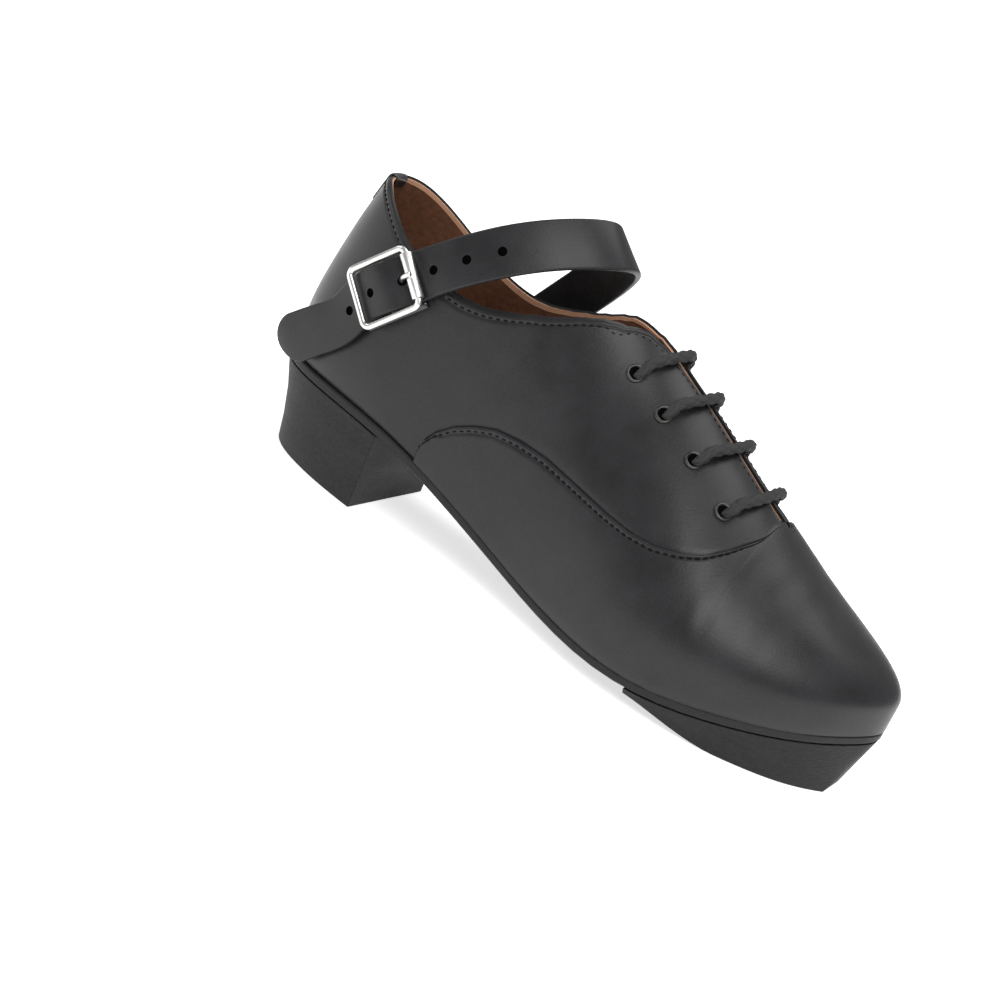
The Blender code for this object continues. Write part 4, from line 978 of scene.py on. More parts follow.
@dataclass
class Upper:
    """The leather upper: quarters, raised vamp, cut edges and brown lining, in one shell."""

    last: Last
    columns: int = 120
    roll: float = 0.0007
    ridge_share: float = 0.35
    shelf_share: float = 0.52
    edge_rise: float = 0.0009
    brim_rows: int = 6
    vamp_rows: int = 22
    quarter_rows: int = 30
    groove: float = 0.00035
    seam_room: float = 0.4
    rim_room: float = 0.6
    flex_along: float = 0.188
    flex_reach: float = 0.020
    flex_depth: float = 0.00010
    slack_depth: float = 0.00012
    merge: float = 0.0003

    def stations(self) -> np.ndarray:
        """Lengths along the shoe of the ribs, closer together where the wing and the throat end.

        Returns:
            The lengths in order.
        """
        knots, turns = self.last.tables[Side.LATERAL]
        even = np.interp(np.linspace(turns[0], turns[-1], self.columns), turns, knots)
        wing = SEAM[0][0] * THROAT_BASE
        near = np.concatenate([wing + np.arange(-4, 12) * 0.0007, THROAT_BASE + np.arange(-14, 5) * 0.0007])
        seam = [row[0] * THROAT_BASE for row in SEAM]
        facing = [row[0] * FOOT_LENGTH for row in FACING]
        near = np.concatenate([near, seam, facing])
        kept = [a for a in even[1:-1] if np.abs(near - a).min() > 0.0008]
        inner = np.unique(np.round(np.concatenate([kept, near]), 6))
        inner = inner[(inner > even[1]) & (inner < even[-2])]
        spaced = [inner[0]]
        for a in inner[1:]:
            if a - spaced[-1] > 0.0003:
                spaced.append(a)
        return np.array([even[0], even[1], *spaced, even[-2], even[-1]])

    def rows(self, turns: np.ndarray) -> tuple[np.ndarray, np.ndarray]:
        """Heights of the grid's rows and how far each point stands out from the last.

        Args:
            turns: A turn of the outline for each rib.

        Returns:
            Two arrays, one row for each rib.
        """
        _, seam, behind, ahead = self.last.top_edges(turns)
        top = self.last.soft_top(turns)
        length = self.last.speed(turns, np.full(turns.size, 0.5))
        on_vamp = ~behind
        edge, dip = np.array(SEAM_ROWS).T
        room = np.minimum(1.0, self.seam_room * seam * length / edge[0])
        near_seam = seam[:, None] - edge * room[:, None] / length[:, None]
        low = near_seam[:, :1] * np.linspace(0, 1, self.vamp_rows)[None, :-1]
        raised = np.where(on_vamp, VAMP_STEP, 0.0)[:, None]
        crest_dip = np.where(on_vamp & ~ahead, self.groove, 0.0)[:, None]
        low_lift = np.broadcast_to(raised, low.shape)
        edge_lift = raised - crest_dip * dip
        past, sink = np.array(STEP_ROWS).T
        after_room = np.minimum(1.0, self.seam_room * (top - seam) * length / past[-1])
        after = seam[:, None] + past * after_room[:, None] / length[:, None]
        after_lift = np.where(ahead[:, None], VAMP_STEP, np.where(on_vamp[:, None], sink, 0.0))
        rim, fall = np.array(RIM_ROWS).T
        fall = fall * self.roll
        rim_room = np.minimum(1.0, self.rim_room * (top - after[:, -1]) * length / rim[0])
        near_top = top[:, None] - rim * rim_room[:, None] / length[:, None]
        share = np.linspace(0, 1, self.quarter_rows)[None, 1:-1]
        high = after[:, -1:] + (near_top[:, :1] - after[:, -1:]) * share
        crown = top > CROWN
        high_lift = np.broadcast_to(np.where(ahead, VAMP_STEP, 0.0)[:, None], high.shape)
        rim_lift = np.where(ahead, VAMP_STEP, 0.0)[:, None] - np.where(crown, 0.0, 1.0)[:, None] * fall
        heights = np.hstack([low, near_seam, after, high, near_top])
        lift = np.hstack([low_lift, edge_lift, after_lift, high_lift, rim_lift])
        return heights, lift

    def creases(self, points: np.ndarray) -> np.ndarray:
        """Soft wear creases over the forefoot and the quarter.

        Args:
            points: (along, side, up) points of the last.

        Returns:
            How far each point stands out.
        """
        along, side, up = points[..., 0], points[..., 1], points[..., 2]
        flex = np.exp(-((along - self.flex_along) / self.flex_reach) ** 2)
        wave = np.sin(along * 620 + side * 110 + np.sin(side * 160) * 1.2) * np.sin(up * 190 + 0.7)
        slack = np.sin(along * 95 + up * 60) * np.sin(up * 120 + side * 70)
        return flex * wave * self.flex_depth + slack * self.slack_depth

    def build(self) -> bpy.types.Object:
        """Makes the shell.

        Returns:
            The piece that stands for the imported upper.
        """
        stations = self.stations()
        turns = np.concatenate([self.last.turn_at(stations, Side.LATERAL),
                                self.last.turn_at(stations[1:-1], Side.MEDIAL)[::-1]])
        heights, lift = self.rows(turns)
        points = self.last.points(turns, heights)
        normals = self.last.normals(turns, np.minimum(heights, NORMAL_LIMIT))
        outer = world(points + normals * (lift + self.creases(points))[..., None])
        inner = world(points - normals * WALL)
        count, rows = heights.shape
        mesh = bmesh.new()
        inward = {}
        grid = []
        for i in range(count):
            column = []
            for k in range(rows):
                vert = mesh.verts.new(outer[i, k])
                inward[tuple(vert.co)] = inner[i, k]
                column.append(vert)
            grid.append(column)
        for i in range(count):
            j = (i + 1) % count
            for k in range(rows - 1):
                mesh.faces.new((grid[i][k], grid[j][k], grid[j][k + 1], grid[i][k + 1]))
        bottom = {tuple(column[0].co) for column in grid}
        open_ribs = [column for column, top in zip(grid, heights[:, -1]) if top < CROWN]
        brim = {tuple(vert.co) for column in open_ribs for vert in column[-self.brim_rows:]}
        bmesh.ops.remove_doubles(mesh, verts=[column[-1] for column in grid], dist=self.merge)
        bmesh.ops.dissolve_degenerate(mesh, dist=1e-6, edges=mesh.edges)
        bmesh.ops.recalc_face_normals(mesh, faces=mesh.faces)
        back = min(mesh.faces, key=lambda face: -face.calc_center_median().y)
        if back.normal.y < 0:
            bmesh.ops.reverse_faces(mesh, faces=mesh.faces)
        outside = list(mesh.faces)
        border = [edge for edge in mesh.edges if edge.is_boundary]
        lining = {}
        for vert in list(mesh.verts):
            key = tuple(vert.co)
            place = inward.get(key)
            if place is None:
                place = inward[min(inward, key=lambda other: (Vector(other) - vert.co).length_squared)]
            lining[vert] = mesh.verts.new(place)
        for face in outside:
            made = mesh.faces.new([lining[v] for v in reversed(face.verts)])
            made.material_index = 2 if all(tuple(vert.co) in brim for vert in face.verts) else 1
        ridge = {}
        shelf = {}
        for edge in border:
            for vert in edge.verts:
                if vert not in ridge:
                    wall = lining[vert].co - vert.co
                    lift = 0.0 if tuple(vert.co) in bottom else self.edge_rise
                    ridge[vert] = mesh.verts.new(vert.co + wall * self.ridge_share + Vector((0, 0, lift)))
                    shelf[vert] = mesh.verts.new(vert.co + wall * self.shelf_share)
        for edge in border:
            face = edge.link_faces[0]
            first, second = edge.verts
            order = list(face.verts)
            if order[(order.index(first) + 1) % len(order)] is not second:
                first, second = second, first
            mesh.faces.new((second, first, ridge[first], ridge[second]))
            mesh.faces.new((ridge[second], ridge[first], shelf[first], shelf[second]))
            made = mesh.faces.new((shelf[second], shelf[first], lining[first], lining[second]))
            low = tuple(first.co) in bottom and tuple(second.co) in bottom
            made.material_index = 0 if low else 2
        item = from_bmesh("upper_leather", mesh, recalculate=False, angle=50)
        return dress(item, [BLACK_LEATHER, LINING, RAW_EDGE], ["upper"])


@dataclass
class Stitching:
    """Rows of short stitches in the leather."""

    last: Last
    pitch: float = 0.0026
    length: float = 0.0018
    radius: float = 0.00034
    collar_inset: float = 0.0022
    seam_inset: float = 0.0017
    sink: float = 0.0002
    sections: tuple[tuple[float, float, float], ...] = (
        (-0.5, -0.0003, 0.45), (-0.34, 0.0, 0.9), (0.0, 0.0001, 1.0), (0.34, 0.0, 0.9), (0.5, -0.0003, 0.45),
    )

    def row(self, mesh: bmesh.types.BMesh, points: np.ndarray, normals: np.ndarray, height: float) -> None:
        """Adds one row of stitches to a bmesh.

        Args:
            mesh: The bmesh.
            points: The line that the row follows.
            normals: Outward normals on that line.
            height: How far the row's middle stands above the line.
        """
        gaps = np.linalg.norm(np.diff(points, axis=0), axis=1)
        run = np.concatenate([[0], np.cumsum(gaps)])
        centres = np.arange(self.pitch, run[-1] - self.pitch, self.pitch)
        places, lifts, sizes = np.array(self.sections).T
        turns = np.linspace(0, 2 * np.pi, 6, endpoint=False)
        wide = np.cos(turns)[:, None]
        high = np.sin(turns)[:, None]
        for centre in centres:
            at = centre + self.length * places
            path = np.stack([np.interp(at, run, points[:, c]) for c in range(3)], 1)
            out = np.stack([np.interp(at, run, normals[:, c]) for c in range(3)], 1)
            out /= np.linalg.norm(out, axis=1)[:, None]
            path += out * (height + lifts)[:, None]
            tangent = (path[-1] - path[0]) / np.linalg.norm(path[-1] - path[0])
            side = np.cross(out, tangent)
            rings = []
            for k, size in enumerate(sizes):
                ring = path[k] + self.radius * size * (wide * side[k] + high * out[k])
                rings.append([mesh.verts.new(p) for p in ring])
            bridge(mesh, rings, ends=True)

    def build(self) -> bpy.types.Object:
        """Makes the rows along the collar, the facings and both sides of the vamp.

        Returns:
            The stitches as one piece.
        """
        mesh = bmesh.new()
        self.row(mesh, *self.last.edge_path(self.collar_inset), -self.sink)
        for side in Side:
            self.row(mesh, *self.last.seam_path(side, self.seam_inset), -self.sink)
        return dress(from_bmesh("stitches", mesh, angle=180), [STITCH])


@dataclass
class Strap:
    """The ankle strap, its tab and the buckle, placed on the lateral quarter."""

    last: Last
    width: float = 0.0172
    thickness: float = 0.0022
    stations: int = 260
    hole: float = 0.0016
    pitch: float = 0.0120
    first_hole: float = 0.0066
    unit: float = 0.050
    bar: float = 0.00115
    roller_radius: float = 0.0021
    tab_leather: float = 0.0010
    tab_ends: tuple[float, float] = (-1.12, 0.92)
    frame_corner: float = 0.0024
    centre_bar: float = 0.0008
    bar_height: float = 0.0039
    bar_bend: float = 0.0052
    cutter_half: float = 0.0020
    cutter_place: float = 0.0022
    hole_reach: float = 0.0028
    edge_share: float = 0.32
    tip_share: float = 0.12
    roller_half: float = 0.0080
    prong_radius: float = 0.0008
    at_bars: tuple[float, ...] = (0.0032, 0.0061, 0.0028)
    prong: tuple[tuple[float, float], ...] = (
        (0.0020, 0.0031), (0.0044, 0.0029), (0.0058, 0.0036), (0.0066, 0.0050),
        (0.0078, 0.0072), (0.0100, 0.0092), (0.0128, 0.0092),
    )
    ball: tuple[tuple[float, float], ...] = ((0.6, 1.0), (0.2, 1.35), (0.05, 1.2), (0.0, 0.4))
    tail: tuple[tuple[float, ...], ...] = (
        (0.480, 0.082, 0.722, 0.68, -0.20, -0.70),
        (0.515, 0.183, 0.805, 0.68, -0.10, -0.70),
        (0.555, 0.308, 0.928, 0.68, 0.05, -0.70),
        (0.602, 0.498, 1.132, 0.68, 0.15, -0.70),
    )
    lead: tuple[tuple[float, ...], ...] = (
        (0.640, 0.985, 1.775, 0.70, 0.20, -0.69),
        (0.570, 1.310, 2.080, 0.75, 0.12, -0.65),
        (0.360, 1.635, 2.315, 0.79, 0.05, -0.62),
        (0.060, 1.860, 2.410, 0.79, 0.00, -0.62),
        (-0.280, 1.790, 2.265, 0.79, -0.05, -0.62),
        (-0.520, 1.585, 1.970, 0.79, -0.08, -0.62),
        (-0.628, 1.360, 1.620, 0.80, -0.04, -0.60),
        (-0.650, 1.140, 1.260, 0.80, 0.00, -0.60),
        (-0.642, 0.900, 0.920, 0.80, 0.02, -0.60),
    )

    def __post_init__(self) -> None:
        """Works out the buckle's axes and the strap's rows."""
        self.place, self.normal = self.last.on_quarter(*BUCKLE_PLACE, Side.LATERAL)
        run = np.array([math.cos(BUCKLE_SLOPE), 0.0, math.sin(BUCKLE_SLOPE)])
        run -= self.normal * (run @ self.normal)
        self.run = run / np.linalg.norm(run)
        self.across = np.cross(self.run, self.normal)
        rows = [self.table_row(row) for row in self.tail]
        for step, height in zip((-1, 0, 1), self.at_bars):
            middle = self.place + self.run * (step * BUCKLE_HALF_LENGTH) + self.normal * height
            rows.append([*middle, *self.across])
        rows += [self.table_row(row) for row in self.lead]
        self.table = np.array(rows)
        chords = np.linalg.norm(np.diff(self.table[:, :3], axis=0), axis=1)
        self.knots = np.concatenate([[0], np.cumsum(chords)])

    def table_row(self, row: Sequence[float]) -> list[float]:
        """One row of the strap's tables as a point and a direction, both (along, side, up)."""
        side, along, up, edge_along, edge_side, edge_up = row
        return [along * self.unit, -side * self.unit, up * self.unit, edge_along, -edge_side, edge_up]

    def frames(self, at: np.ndarray) -> tuple[np.ndarray, np.ndarray, np.ndarray]:
        """The strap's sections.

        Args:
            at: Runs along the strap.

        Returns:
            A middle point, a width direction and an outward direction for each run, all (along, side, up).
        """
        found = spline(self.knots, self.table, at)
        step = 1e-4
        line = self.table[:, :3]
        tangent = spline(self.knots, line, at + step) - spline(self.knots, line, at - step)
        tangent /= np.linalg.norm(tangent, axis=1)[:, None]
        width = found[:, 3:]
        width -= tangent * (width * tangent).sum(1)[:, None]
        width /= np.linalg.norm(width, axis=1)[:, None]
        return found[:, :3], width, np.cross(width, tangent)

    def at(self, along: float, sideways: float, height: float) -> np.ndarray:
        """A place by the buckle in the shoe's frame."""
        return world(self.place + self.run * along + self.across * sideways + self.normal * height)

    def build_strap(self) -> bpy.types.Object:
        """Makes the strap with its six punched holes and its rounded end.

        Returns:
            The strap.
        """
        total = self.knots[-1]
        half = self.width / 2
        start = np.linspace(0, half, 22)[:-1] ** 2 / half
        runs = np.concatenate([start, np.linspace(half, total, self.stations)])
        middle, width, outward = self.frames(runs)
        corner = self.thickness * self.edge_share
        angles = np.linspace(0, np.pi / 2, 5)
        section = []
        for sign_a, sign_b in ((1, 1), (-1, 1), (-1, -1), (1, -1)):
            sweep = angles if sign_a * sign_b > 0 else angles[::-1]
            for angle in sweep:
                a = sign_a * (half - corner + corner * math.cos(angle))
                b = sign_b * (self.thickness / 2 - corner + corner * math.sin(angle))
                section.append((a, b))
        mesh = bmesh.new()
        rings = []
        for i, run in enumerate(runs):
            gap = max(0.0, 1 - run / half)
            narrow = max(self.tip_share, math.sqrt(max(0.0, 1 - gap * gap)))
            ring = [middle[i] + width[i] * (a * narrow) + outward[i] * b for a, b in section]
            rings.append([mesh.verts.new(p) for p in world(np.array(ring))])
        bridge(mesh, rings, ends=True)
        item = from_bmesh("strap_leather", mesh, angle=60)
        centre_bar = self.knots[len(self.tail) + 1]
        spots = []
        for number in range(6):
            run = centre_bar + self.first_hole + (number - 2) * self.pitch
            centre, _, out = self.frames(np.array([run]))
            spot = Vector(world(centre)[0])
            direction = Vector(world_vector(out)[0])
            spots.append((spot, direction))
            for face in (-1, 1):
                bpy.ops.object.select_all(action="DESELECT")
                bpy.ops.mesh.primitive_cylinder_add(vertices=24, radius=self.hole, depth=2 * self.cutter_half,
                                                    location=spot + direction * (face * self.cutter_place),
                                                    rotation=direction.to_track_quat("Z", "X").to_euler())
                cutter = bpy.context.object
                select_only(item)
                hole = item.modifiers.new("hole", "BOOLEAN")
                hole.operation = "DIFFERENCE"
                hole.object = cutter
                bpy.ops.object.modifier_apply(modifier=hole.name)
                bpy.data.objects.remove(cutter, do_unlink=True)
        dress(item, [STRAP_LEATHER, PAINTED_HOLE_SHADE], ["ankle_strap"])
        # Faces on the walls of the punched holes get the painted shade.
        for face in item.data.polygons:
            for spot, direction in spots:
                corners = [item.data.vertices[k].co - spot for k in face.vertices]
                reach = max((away - direction * away.dot(direction)).length for away in corners)
                if reach < self.hole * 1.05 and corners[0].length < self.hole_reach:
                    face.material_index = 1
        return item

    def build_tab(self) -> bpy.types.Object:
        """Makes the glossy leather tab under the buckle.

        Returns:
            The tab.
        """
        mesh = bmesh.new()
        grid = []
        for p in np.linspace(*self.tab_ends, 16) * BUCKLE_HALF_LENGTH:
            line = []
            for q in np.linspace(-1, 1, 12) * BUCKLE_HALF_WIDTH:
                near = self.place + self.run * p + self.across * q
                surface, out = self.last.on_quarter(near[0], near[2], Side.LATERAL)
                line.append(mesh.verts.new(world(surface + out * (TOUCH_GAP + self.tab_leather))))
            grid.append(line)
        bridge(mesh, grid, closed=False)
        item = from_bmesh("buckle_tab_leather", mesh, angle=60)
        outward = Vector(world_vector(self.normal))
        if item.data.polygons[0].normal.dot(outward) < 0:
            item.data.flip_normals()
        thicken(item, self.tab_leather)
        return dress(item, [GLOSSY_TRIM], ["buckle_tab"])

    def build_frame(self) -> bpy.types.Object:
        """Makes the frame with its rounded corners and its centre bar.

        Returns:
            The frame.
        """
        corner = self.frame_corner
        loop = []
        for sign_p, sign_q in ((1, 1), (-1, 1), (-1, -1), (1, -1)):
            angles = np.linspace(0, np.pi / 2, 9)
            if sign_p * sign_q < 0:
                angles = angles[::-1]
            for angle in angles:
                p = sign_p * (BUCKLE_HALF_LENGTH - corner + corner * math.cos(angle))
                q = sign_q * (BUCKLE_HALF_WIDTH - corner + corner * math.sin(angle))
                loop.append(self.at(p, q, BUCKLE_HEIGHT))
        up = world_vector(self.normal)
        mesh = bmesh.new()
        tube(mesh, np.array(loop), self.bar, up, closed=True, flat=0.85)
        half = [(0.0, self.bar_height), (0.90, self.bar_height), (0.97, self.bar_bend), (1.0, BUCKLE_HEIGHT)]
        stops = [(-q, h) for q, h in half[:0:-1]] + half
        bar = [self.at(0, q * BUCKLE_HALF_WIDTH, h) for q, h in stops]
        tube(mesh, np.array(bar), self.centre_bar, world_vector(self.run))
        return dress(from_bmesh("buckle_frame_silver", mesh), [SILVER], ["buckle_frame"])

    def build_roller(self) -> bpy.types.Object:
        """Makes the roller on the front bar.

        Returns:
            The roller.
        """
        mesh = bmesh.new()
        spots = np.array([-1.0, -0.985, -0.94, 0.94, 0.985, 1.0]) * self.roller_half
        sizes = np.array([0.82, 0.95, 1.0, 1.0, 0.95, 0.82]) * self.roller_radius
        path = np.array([self.at(BUCKLE_HALF_LENGTH, q, BUCKLE_HEIGHT) for q in spots])
        tube(mesh, path, sizes, world_vector(self.normal))
        return dress(from_bmesh("buckle_roller_silver", mesh), [SILVER], ["buckle_roller"])

    def build_prong(self) -> bpy.types.Object:
        """Makes the pin with its ball end.

        Returns:
            The pin.
        """
        rows = np.array(self.prong)
        at = np.linspace(0, len(rows) - 1, 40)
        fine = spline(np.arange(len(rows)), rows, at)
        path = np.array([self.at(p, 0, h) for p, h in fine])
        before_end, share = np.array(self.ball).T
        size = np.interp(at, len(rows) - 1 - before_end, share)
        mesh = bmesh.new()
        tube(mesh, path, self.prong_radius * size, world_vector(self.across))
        return dress(from_bmesh("buckle_prong_silver", mesh), [SILVER], ["buckle_prong"])

    def build(self) -> list[bpy.types.Object]:
        """Makes the strap and all pieces of the buckle."""
        steps = (self.build_strap, self.build_tab, self.build_frame, self.build_roller, self.build_prong)
        return [step() for step in steps]


@dataclass
class Lacing:
    """Eyelets and the braided lace that runs through them."""

    last: Last
    radius: float = 0.0020
    neck: float = 0.0015
    rise: float = 0.0011
    clearance: float = 0.0009
    braid_depth: float = 0.00055
    carriers: int = 4
    lay: float = 0.0058
    ring: float = 0.0026
    ring_wire: float = 0.0006
    shade_disc_height: float = 0.0008
    entry: float = 0.0009
    section_step: float = 0.00028

    def path(self, share: float, reach: float) -> tuple[np.ndarray, np.ndarray, np.ndarray]:
        """The lace's line over one pair of eyelets.

        Args:
            share: Share of the foot length where the pair sits.
            reach: Distance from the ridge as a multiple of EYELET_SIDE.

        Returns:
            Points, outward normals and radii, from the lateral to the medial side.
        """
        stops = [(-1.0, -0.0045, 0.6), (-1.0, -0.0018, 0.8), (-1.0, 0.0008, 1.0), (-0.95, 0.0032, 1.3)]
        knots = []
        for t, height, forward in stops:
            size = self.neck if height < self.radius else self.radius * 0.93
            knots.append((t, height, forward * self.entry, size))
        for t in np.linspace(-0.84, 0.84, 15):
            rise = self.rise * min(1.0, max(0.0, (abs(t) - 0.35) / 0.4))
            knots.append((t, self.radius + self.clearance + rise, 0.0, self.radius))
        for t, height, forward, size in knots[3::-1]:
            knots.append((-t, height, forward, size))
        points, normals, sizes = [], [], []
        for t, height, forward, size in knots:
            along = share * FOOT_LENGTH + LACE_LEAD * (1 - t * t) + forward
            side = Side.MEDIAL if t > 0 else Side.LATERAL
            place, out = self.last.beside_ridge(along, EYELET_SIDE * reach * abs(t), side)
            points.append(world(place + out * height))
            normals.append(world_vector(out))
            sizes.append(size)
        rows = np.column_stack([points, normals, sizes])
        chords = np.linalg.norm(np.diff(rows[:, :3], axis=0), axis=1)
        run = np.concatenate([[0], np.cumsum(chords)])
        fine = spline(run, rows, np.arange(0, run[-1], self.section_step))
        return fine[:, :3], fine[:, 3:6], fine[:, 6]

    def build_bar(self, number: int, share: float, reach: float) -> bpy.types.Object:
        """Makes one bar of braided lace.

        Args:
            number: Number of the pair, from the top.
            share: Share of the foot length where the pair sits.
            reach: Distance from the ridge as a multiple of EYELET_SIDE.

        Returns:
            The bar.
        """
        path, out, radius = self.path(share, reach)
        tangent = np.gradient(path, axis=0)
        tangent /= np.linalg.norm(tangent, axis=1)[:, None]
        across = np.zeros_like(path)
        side = np.cross(out[0], tangent[0])
        for i in range(len(path)):
            side = side - tangent[i] * (side @ tangent[i])
            side /= np.linalg.norm(side)
            across[i] = side
        over = np.cross(tangent, across)
        run = np.concatenate([[0], np.cumsum(np.linalg.norm(np.diff(path, axis=0), axis=1))])
        count = 48
        turns = np.linspace(0, 2 * np.pi, count, endpoint=False)
        phase = run[:, None] / self.lay * 2 * np.pi
        first = (self.carriers * turns[None, :] + phase) / 2
        second = (self.carriers * turns[None, :] - phase) / 2
        parity = (np.floor(first / np.pi) + np.floor(second / np.pi)) % 2
        ridge_first = np.abs(np.sin(first)) ** 0.7 * (0.30 + 0.70 * np.abs(np.sin(second)) ** 0.7)
        ridge_second = np.abs(np.sin(second)) ** 0.7 * (0.30 + 0.70 * np.abs(np.sin(first)) ** 0.7)
        relief = np.where(parity > 0.5, ridge_first, ridge_second)
        size = radius[:, None] - self.braid_depth * (1 - relief)
        wide = np.cos(turns)[:, None]
        high = np.sin(turns)[:, None]
        mesh = bmesh.new()
        rings = []
        for i in range(len(path)):
            ring = path[i] + size[i][:, None] * (wide * across[i] + high * over[i])
            rings.append([mesh.verts.new(p) for p in ring])
        bridge(mesh, rings, ends=True)
        return dress(from_bmesh(f"lace_{number}", mesh, angle=75), [BRAID], [f"lace_bar_{number}"])

    def build_eyelet(self, row: str, number: int, share: float, reach: float, side: Side) -> bpy.types.Object:
        """Makes one eyelet with a black disc of painted shade in its hole.

        Args:
            row: Name of the row.
            number: Number of the pair, from the top.
            share: Share of the foot length.
            reach: Distance from the ridge as a multiple of EYELET_SIDE.
            side: Side of the shoe.

        Returns:
            The eyelet.
        """
        place, out = self.last.beside_ridge(share * FOOT_LENGTH, EYELET_SIDE * reach, side)
        spot = Vector(world(place))
        out = Vector(world_vector(out))
        turn = out.to_track_quat("Z", "X").to_euler()
        bpy.ops.object.select_all(action="DESELECT")
        bpy.ops.mesh.primitive_torus_add(location=spot + out * TOUCH_GAP, rotation=turn,
                                         major_radius=self.ring, minor_radius=self.ring_wire,
                                         major_segments=40, minor_segments=14)
        ring = bpy.context.object
        # A flat black disc inside the ring is painted shade, where the hole lies in shadow.
        bpy.ops.mesh.primitive_cylinder_add(vertices=32, radius=self.ring - self.ring_wire * 0.4,
                                            depth=self.shade_disc_height, location=spot, rotation=turn)
        hole = bpy.context.object
        for part, finish in ((ring, EYELET_METAL), (hole, PAINTED_HOLE_SHADE)):
            part.data.materials.append(finish.material())
        select_only(ring)
        hole.select_set(True)
        bpy.ops.object.join()
        item = settle(ring, f"eyelet_{row}_{number}_metal")
        dress(item, [EYELET_METAL, PAINTED_HOLE_SHADE], [f"eyelet_{row}_{number}"])
        item.data.shade_smooth()
        item.data.set_sharp_from_angle(angle=math.radians(50))
        return item

    def build(self) -> list[bpy.types.Object]:
        """Makes all eyelets and bars.

        Returns:
            The pieces, pair by pair from the top.
        """
        made = []
        for number, (share, reach) in enumerate(EYELETS, 1):
            made.append(self.build_bar(number, share, reach))
            made.append(self.build_eyelet("lateral", number, share, reach, Side.LATERAL))
            made.append(self.build_eyelet("medial", number, share, reach, Side.MEDIAL))
        return made


@dataclass
class BackTab:
    """The small glossy tab folded over the back of the collar."""

    last: Last
    half_width: float = 0.0050
    drop: float = 0.0110
    inside: float = 0.0035
    leather: float = 0.0006
    stand: float = 0.0007
    bend_start: float = 0.0010

    def build(self) -> bpy.types.Object:
        """Makes the tab.

        Returns:
            The tab.
        """
        spread = np.linspace(-1, 1, 17)
        middle = float(self.last.turn_at(np.array([self.last.back_along]), Side.LATERAL)[0])
        step = 1e-4
        foot = self.last.feather_line(np.array([middle - step, middle + step]))
        rate = np.linalg.norm(foot[1] - foot[0]) / (2 * step)
        turns = (middle + spread * self.half_width / rate) % 1.0
        top = self.last.top_edges(turns)[0]
        speed = self.last.speed(turns, top - 0.01)
        rows = []
        for distance in np.linspace(self.drop, self.bend_start, 12):
            rows.append((distance, self.stand))
        arc = np.linspace(0, np.pi, 9)[1:-1]
        centre = -WALL / 2
        bend = WALL / 2 + self.stand
        for angle in arc:
            rows.append((self.bend_start - bend * math.sin(angle), centre + bend * math.cos(angle)))
        for distance in np.linspace(self.bend_start, self.inside, 10):
            rows.append((distance, -WALL - self.stand))
        mesh = bmesh.new()
        grid = []
        for distance, height in rows:
            v = (top - max(distance, 0.0) / speed)[:, None]
            points = self.last.points(turns, v)[:, 0]
            normals = self.last.normals(turns, v)[:, 0]
            points = points + normals * height
            points[:, 2] += max(-distance, 0.0)
            grid.append([mesh.verts.new(p) for p in world(points)])
        bridge(mesh, grid, closed=False)
        item = from_bmesh("back_tab", mesh, angle=60)
        first = item.data.polygons[0]
        if first.normal.y < 0:
            item.data.flip_normals()
        thicken(item, self.leather)
        return dress(item, [GLOSSY_TRIM])


@dataclass
class Bottom:
    """The sole, the footbed, the tongue, the heel and the toe block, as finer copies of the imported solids."""

    rounding: float = 0.0004

    def build(self) -> list[bpy.types.Object]:
        """Makes the copies."""
        return [
            rounded_copy("outsole", "sole", [SOLE], self.rounding, 40),
            rounded_copy("insole", "footbed", [FOOTBED], 0.0, 40),
            tongue_copy(),
            rounded_copy("heel_block", "heel", [HARD_BLOCK], self.rounding, 40),
            rounded_copy("toe_block", "toe_tip", [HARD_BLOCK], self.rounding, 40),
        ]


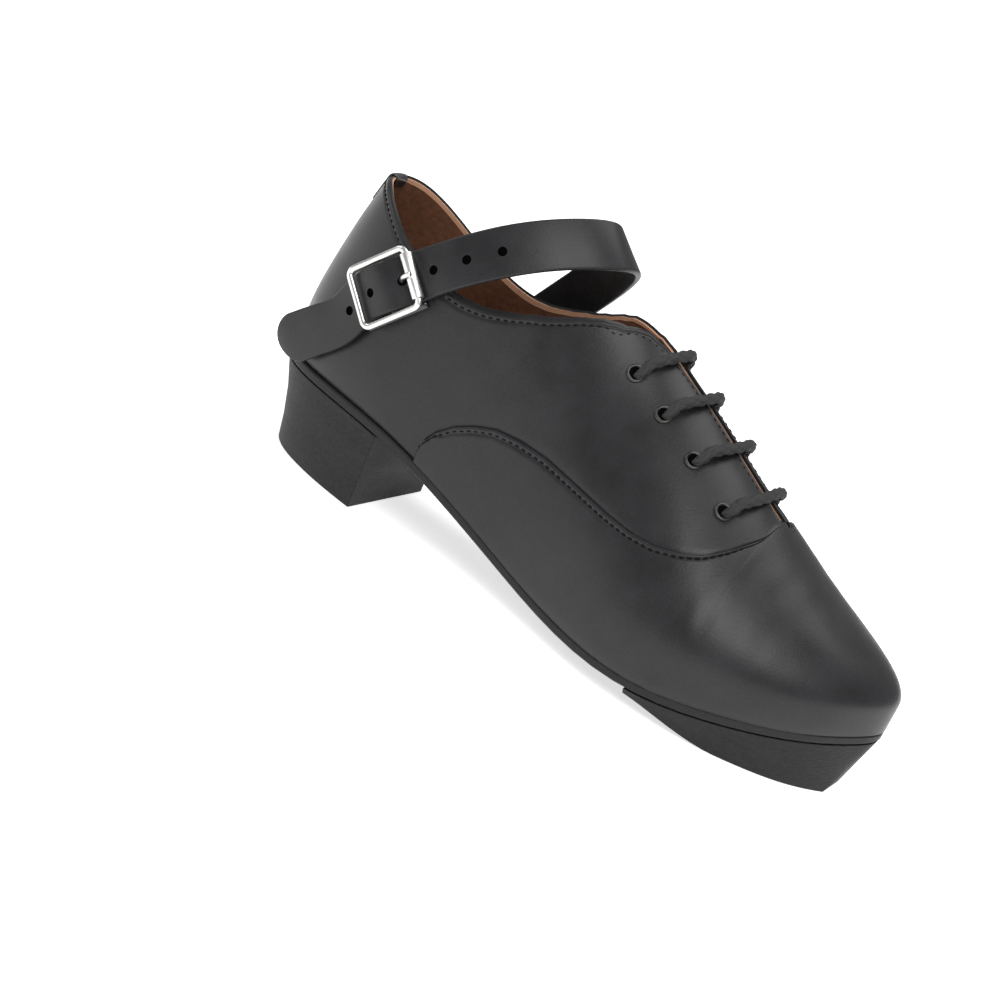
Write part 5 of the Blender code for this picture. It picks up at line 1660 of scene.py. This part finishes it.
@dataclass
class Studio:
    """The floor, the soft lights and the camera."""

    azimuth: float = math.radians(19.7475)
    elevation: float = math.radians(17.5482)
    roll: float = math.radians(-26.7771)
    distance: float = 0.8
    focus: tuple[float, float, float] = (-0.00015, HEEL_Y - 0.09331, 0.02294)
    lens: float = 84.069
    aim: tuple[float, float, float] = (0.0, -0.07, 0.04)
    floor_size: float = 60.0
    floor_glow: float = 0.66
    sky_strength: float = 0.40

    def build_camera(self) -> None:
        """Puts the camera at the photograph's angle."""
        flat = math.cos(self.elevation)
        side = -math.cos(self.azimuth) * flat
        front = -math.sin(self.azimuth) * flat
        back = Vector((side, front, math.sin(self.elevation)))
        level = (-back).cross(Vector((0, 0, 1))).normalized()
        rise = level.cross(-back)
        right = level * math.cos(self.roll) - rise * math.sin(self.roll)
        up = level * math.sin(self.roll) + rise * math.cos(self.roll)
        data = bpy.data.cameras.new("camera")
        data.lens = self.lens
        data.sensor_width = 36.0
        data.clip_start = 0.01
        camera = bpy.data.objects.new("camera", data)
        place = Matrix((right, up, back)).transposed().to_4x4()
        place.translation = Vector(self.focus) + back * self.distance
        camera.matrix_world = place
        bpy.context.scene.collection.objects.link(camera)
        bpy.context.scene.camera = camera

    def build_light(self, name: str, spot: tuple[float, float, float], size: float, power: float) -> None:
        """Adds a soft square light that faces the shoe.

        Args:
            name: Its name.
            spot: Its place.
            size: Its side.
            power: Its power in watts.
        """
        data = bpy.data.lights.new(name, "AREA")
        data.size = size
        data.energy = power
        light = bpy.data.objects.new(name, data)
        aim = Vector(self.aim) - Vector(spot)
        light.rotation_mode = "QUATERNION"
        light.rotation_quaternion = aim.to_track_quat("-Z", "Y")
        light.location = spot
        bpy.context.scene.collection.objects.link(light)

    def build_floor(self) -> None:
        """Lays the plain pale floor."""
        bpy.ops.object.select_all(action="DESELECT")
        bpy.ops.mesh.primitive_plane_add(size=self.floor_size, location=(0, 0, 0))
        floor = settle(bpy.context.object, "floor")
        material = bpy.data.materials.new("pale_floor")
        material.use_nodes = True
        shader = material.node_tree.nodes["Principled BSDF"]
        shader.inputs["Base Color"].default_value = (0.93, 0.93, 0.93, 1.0)
        shader.inputs["Roughness"].default_value = 0.9
        shader.inputs["Specular IOR Level"].default_value = 0.0
        shader.inputs["Emission Color"].default_value = (1.0, 1.0, 1.0, 1.0)
        shader.inputs["Emission Strength"].default_value = self.floor_glow
        floor.data.materials.append(material)

    def build(self) -> None:
        """Makes the whole studio."""
        self.build_camera()
        self.build_floor()
        self.build_light("key", (-1.3, -0.9, 1.5), 1.2, 24.0)
        self.build_light("back", (-0.5, 1.5, 1.1), 1.0, 7.0)
        self.build_light("top", (0.5, -0.3, 1.8), 1.4, 17.0)
        world_light = bpy.data.worlds.new("studio_world")
        world_light.use_nodes = True
        sky = world_light.node_tree.nodes["Background"]
        sky.inputs["Color"].default_value = (1.0, 1.0, 1.0, 1.0)
        sky.inputs["Strength"].default_value = self.sky_strength
        bpy.context.scene.world = world_light
        bpy.context.scene.view_settings.view_transform = "Standard"


def main() -> None:
    """Builds every piece in order and reports it."""
    logging.basicConfig(level=logging.INFO, format="%(name)s %(message)s")
    last = Last()
    Studio().build()
    Upper(last).build()
    Bottom().build()
    Stitching(last).build()
    Strap(last).build()
    Lacing(last).build()
    BackTab(last).build()


if __name__ == "__main__":
    main()
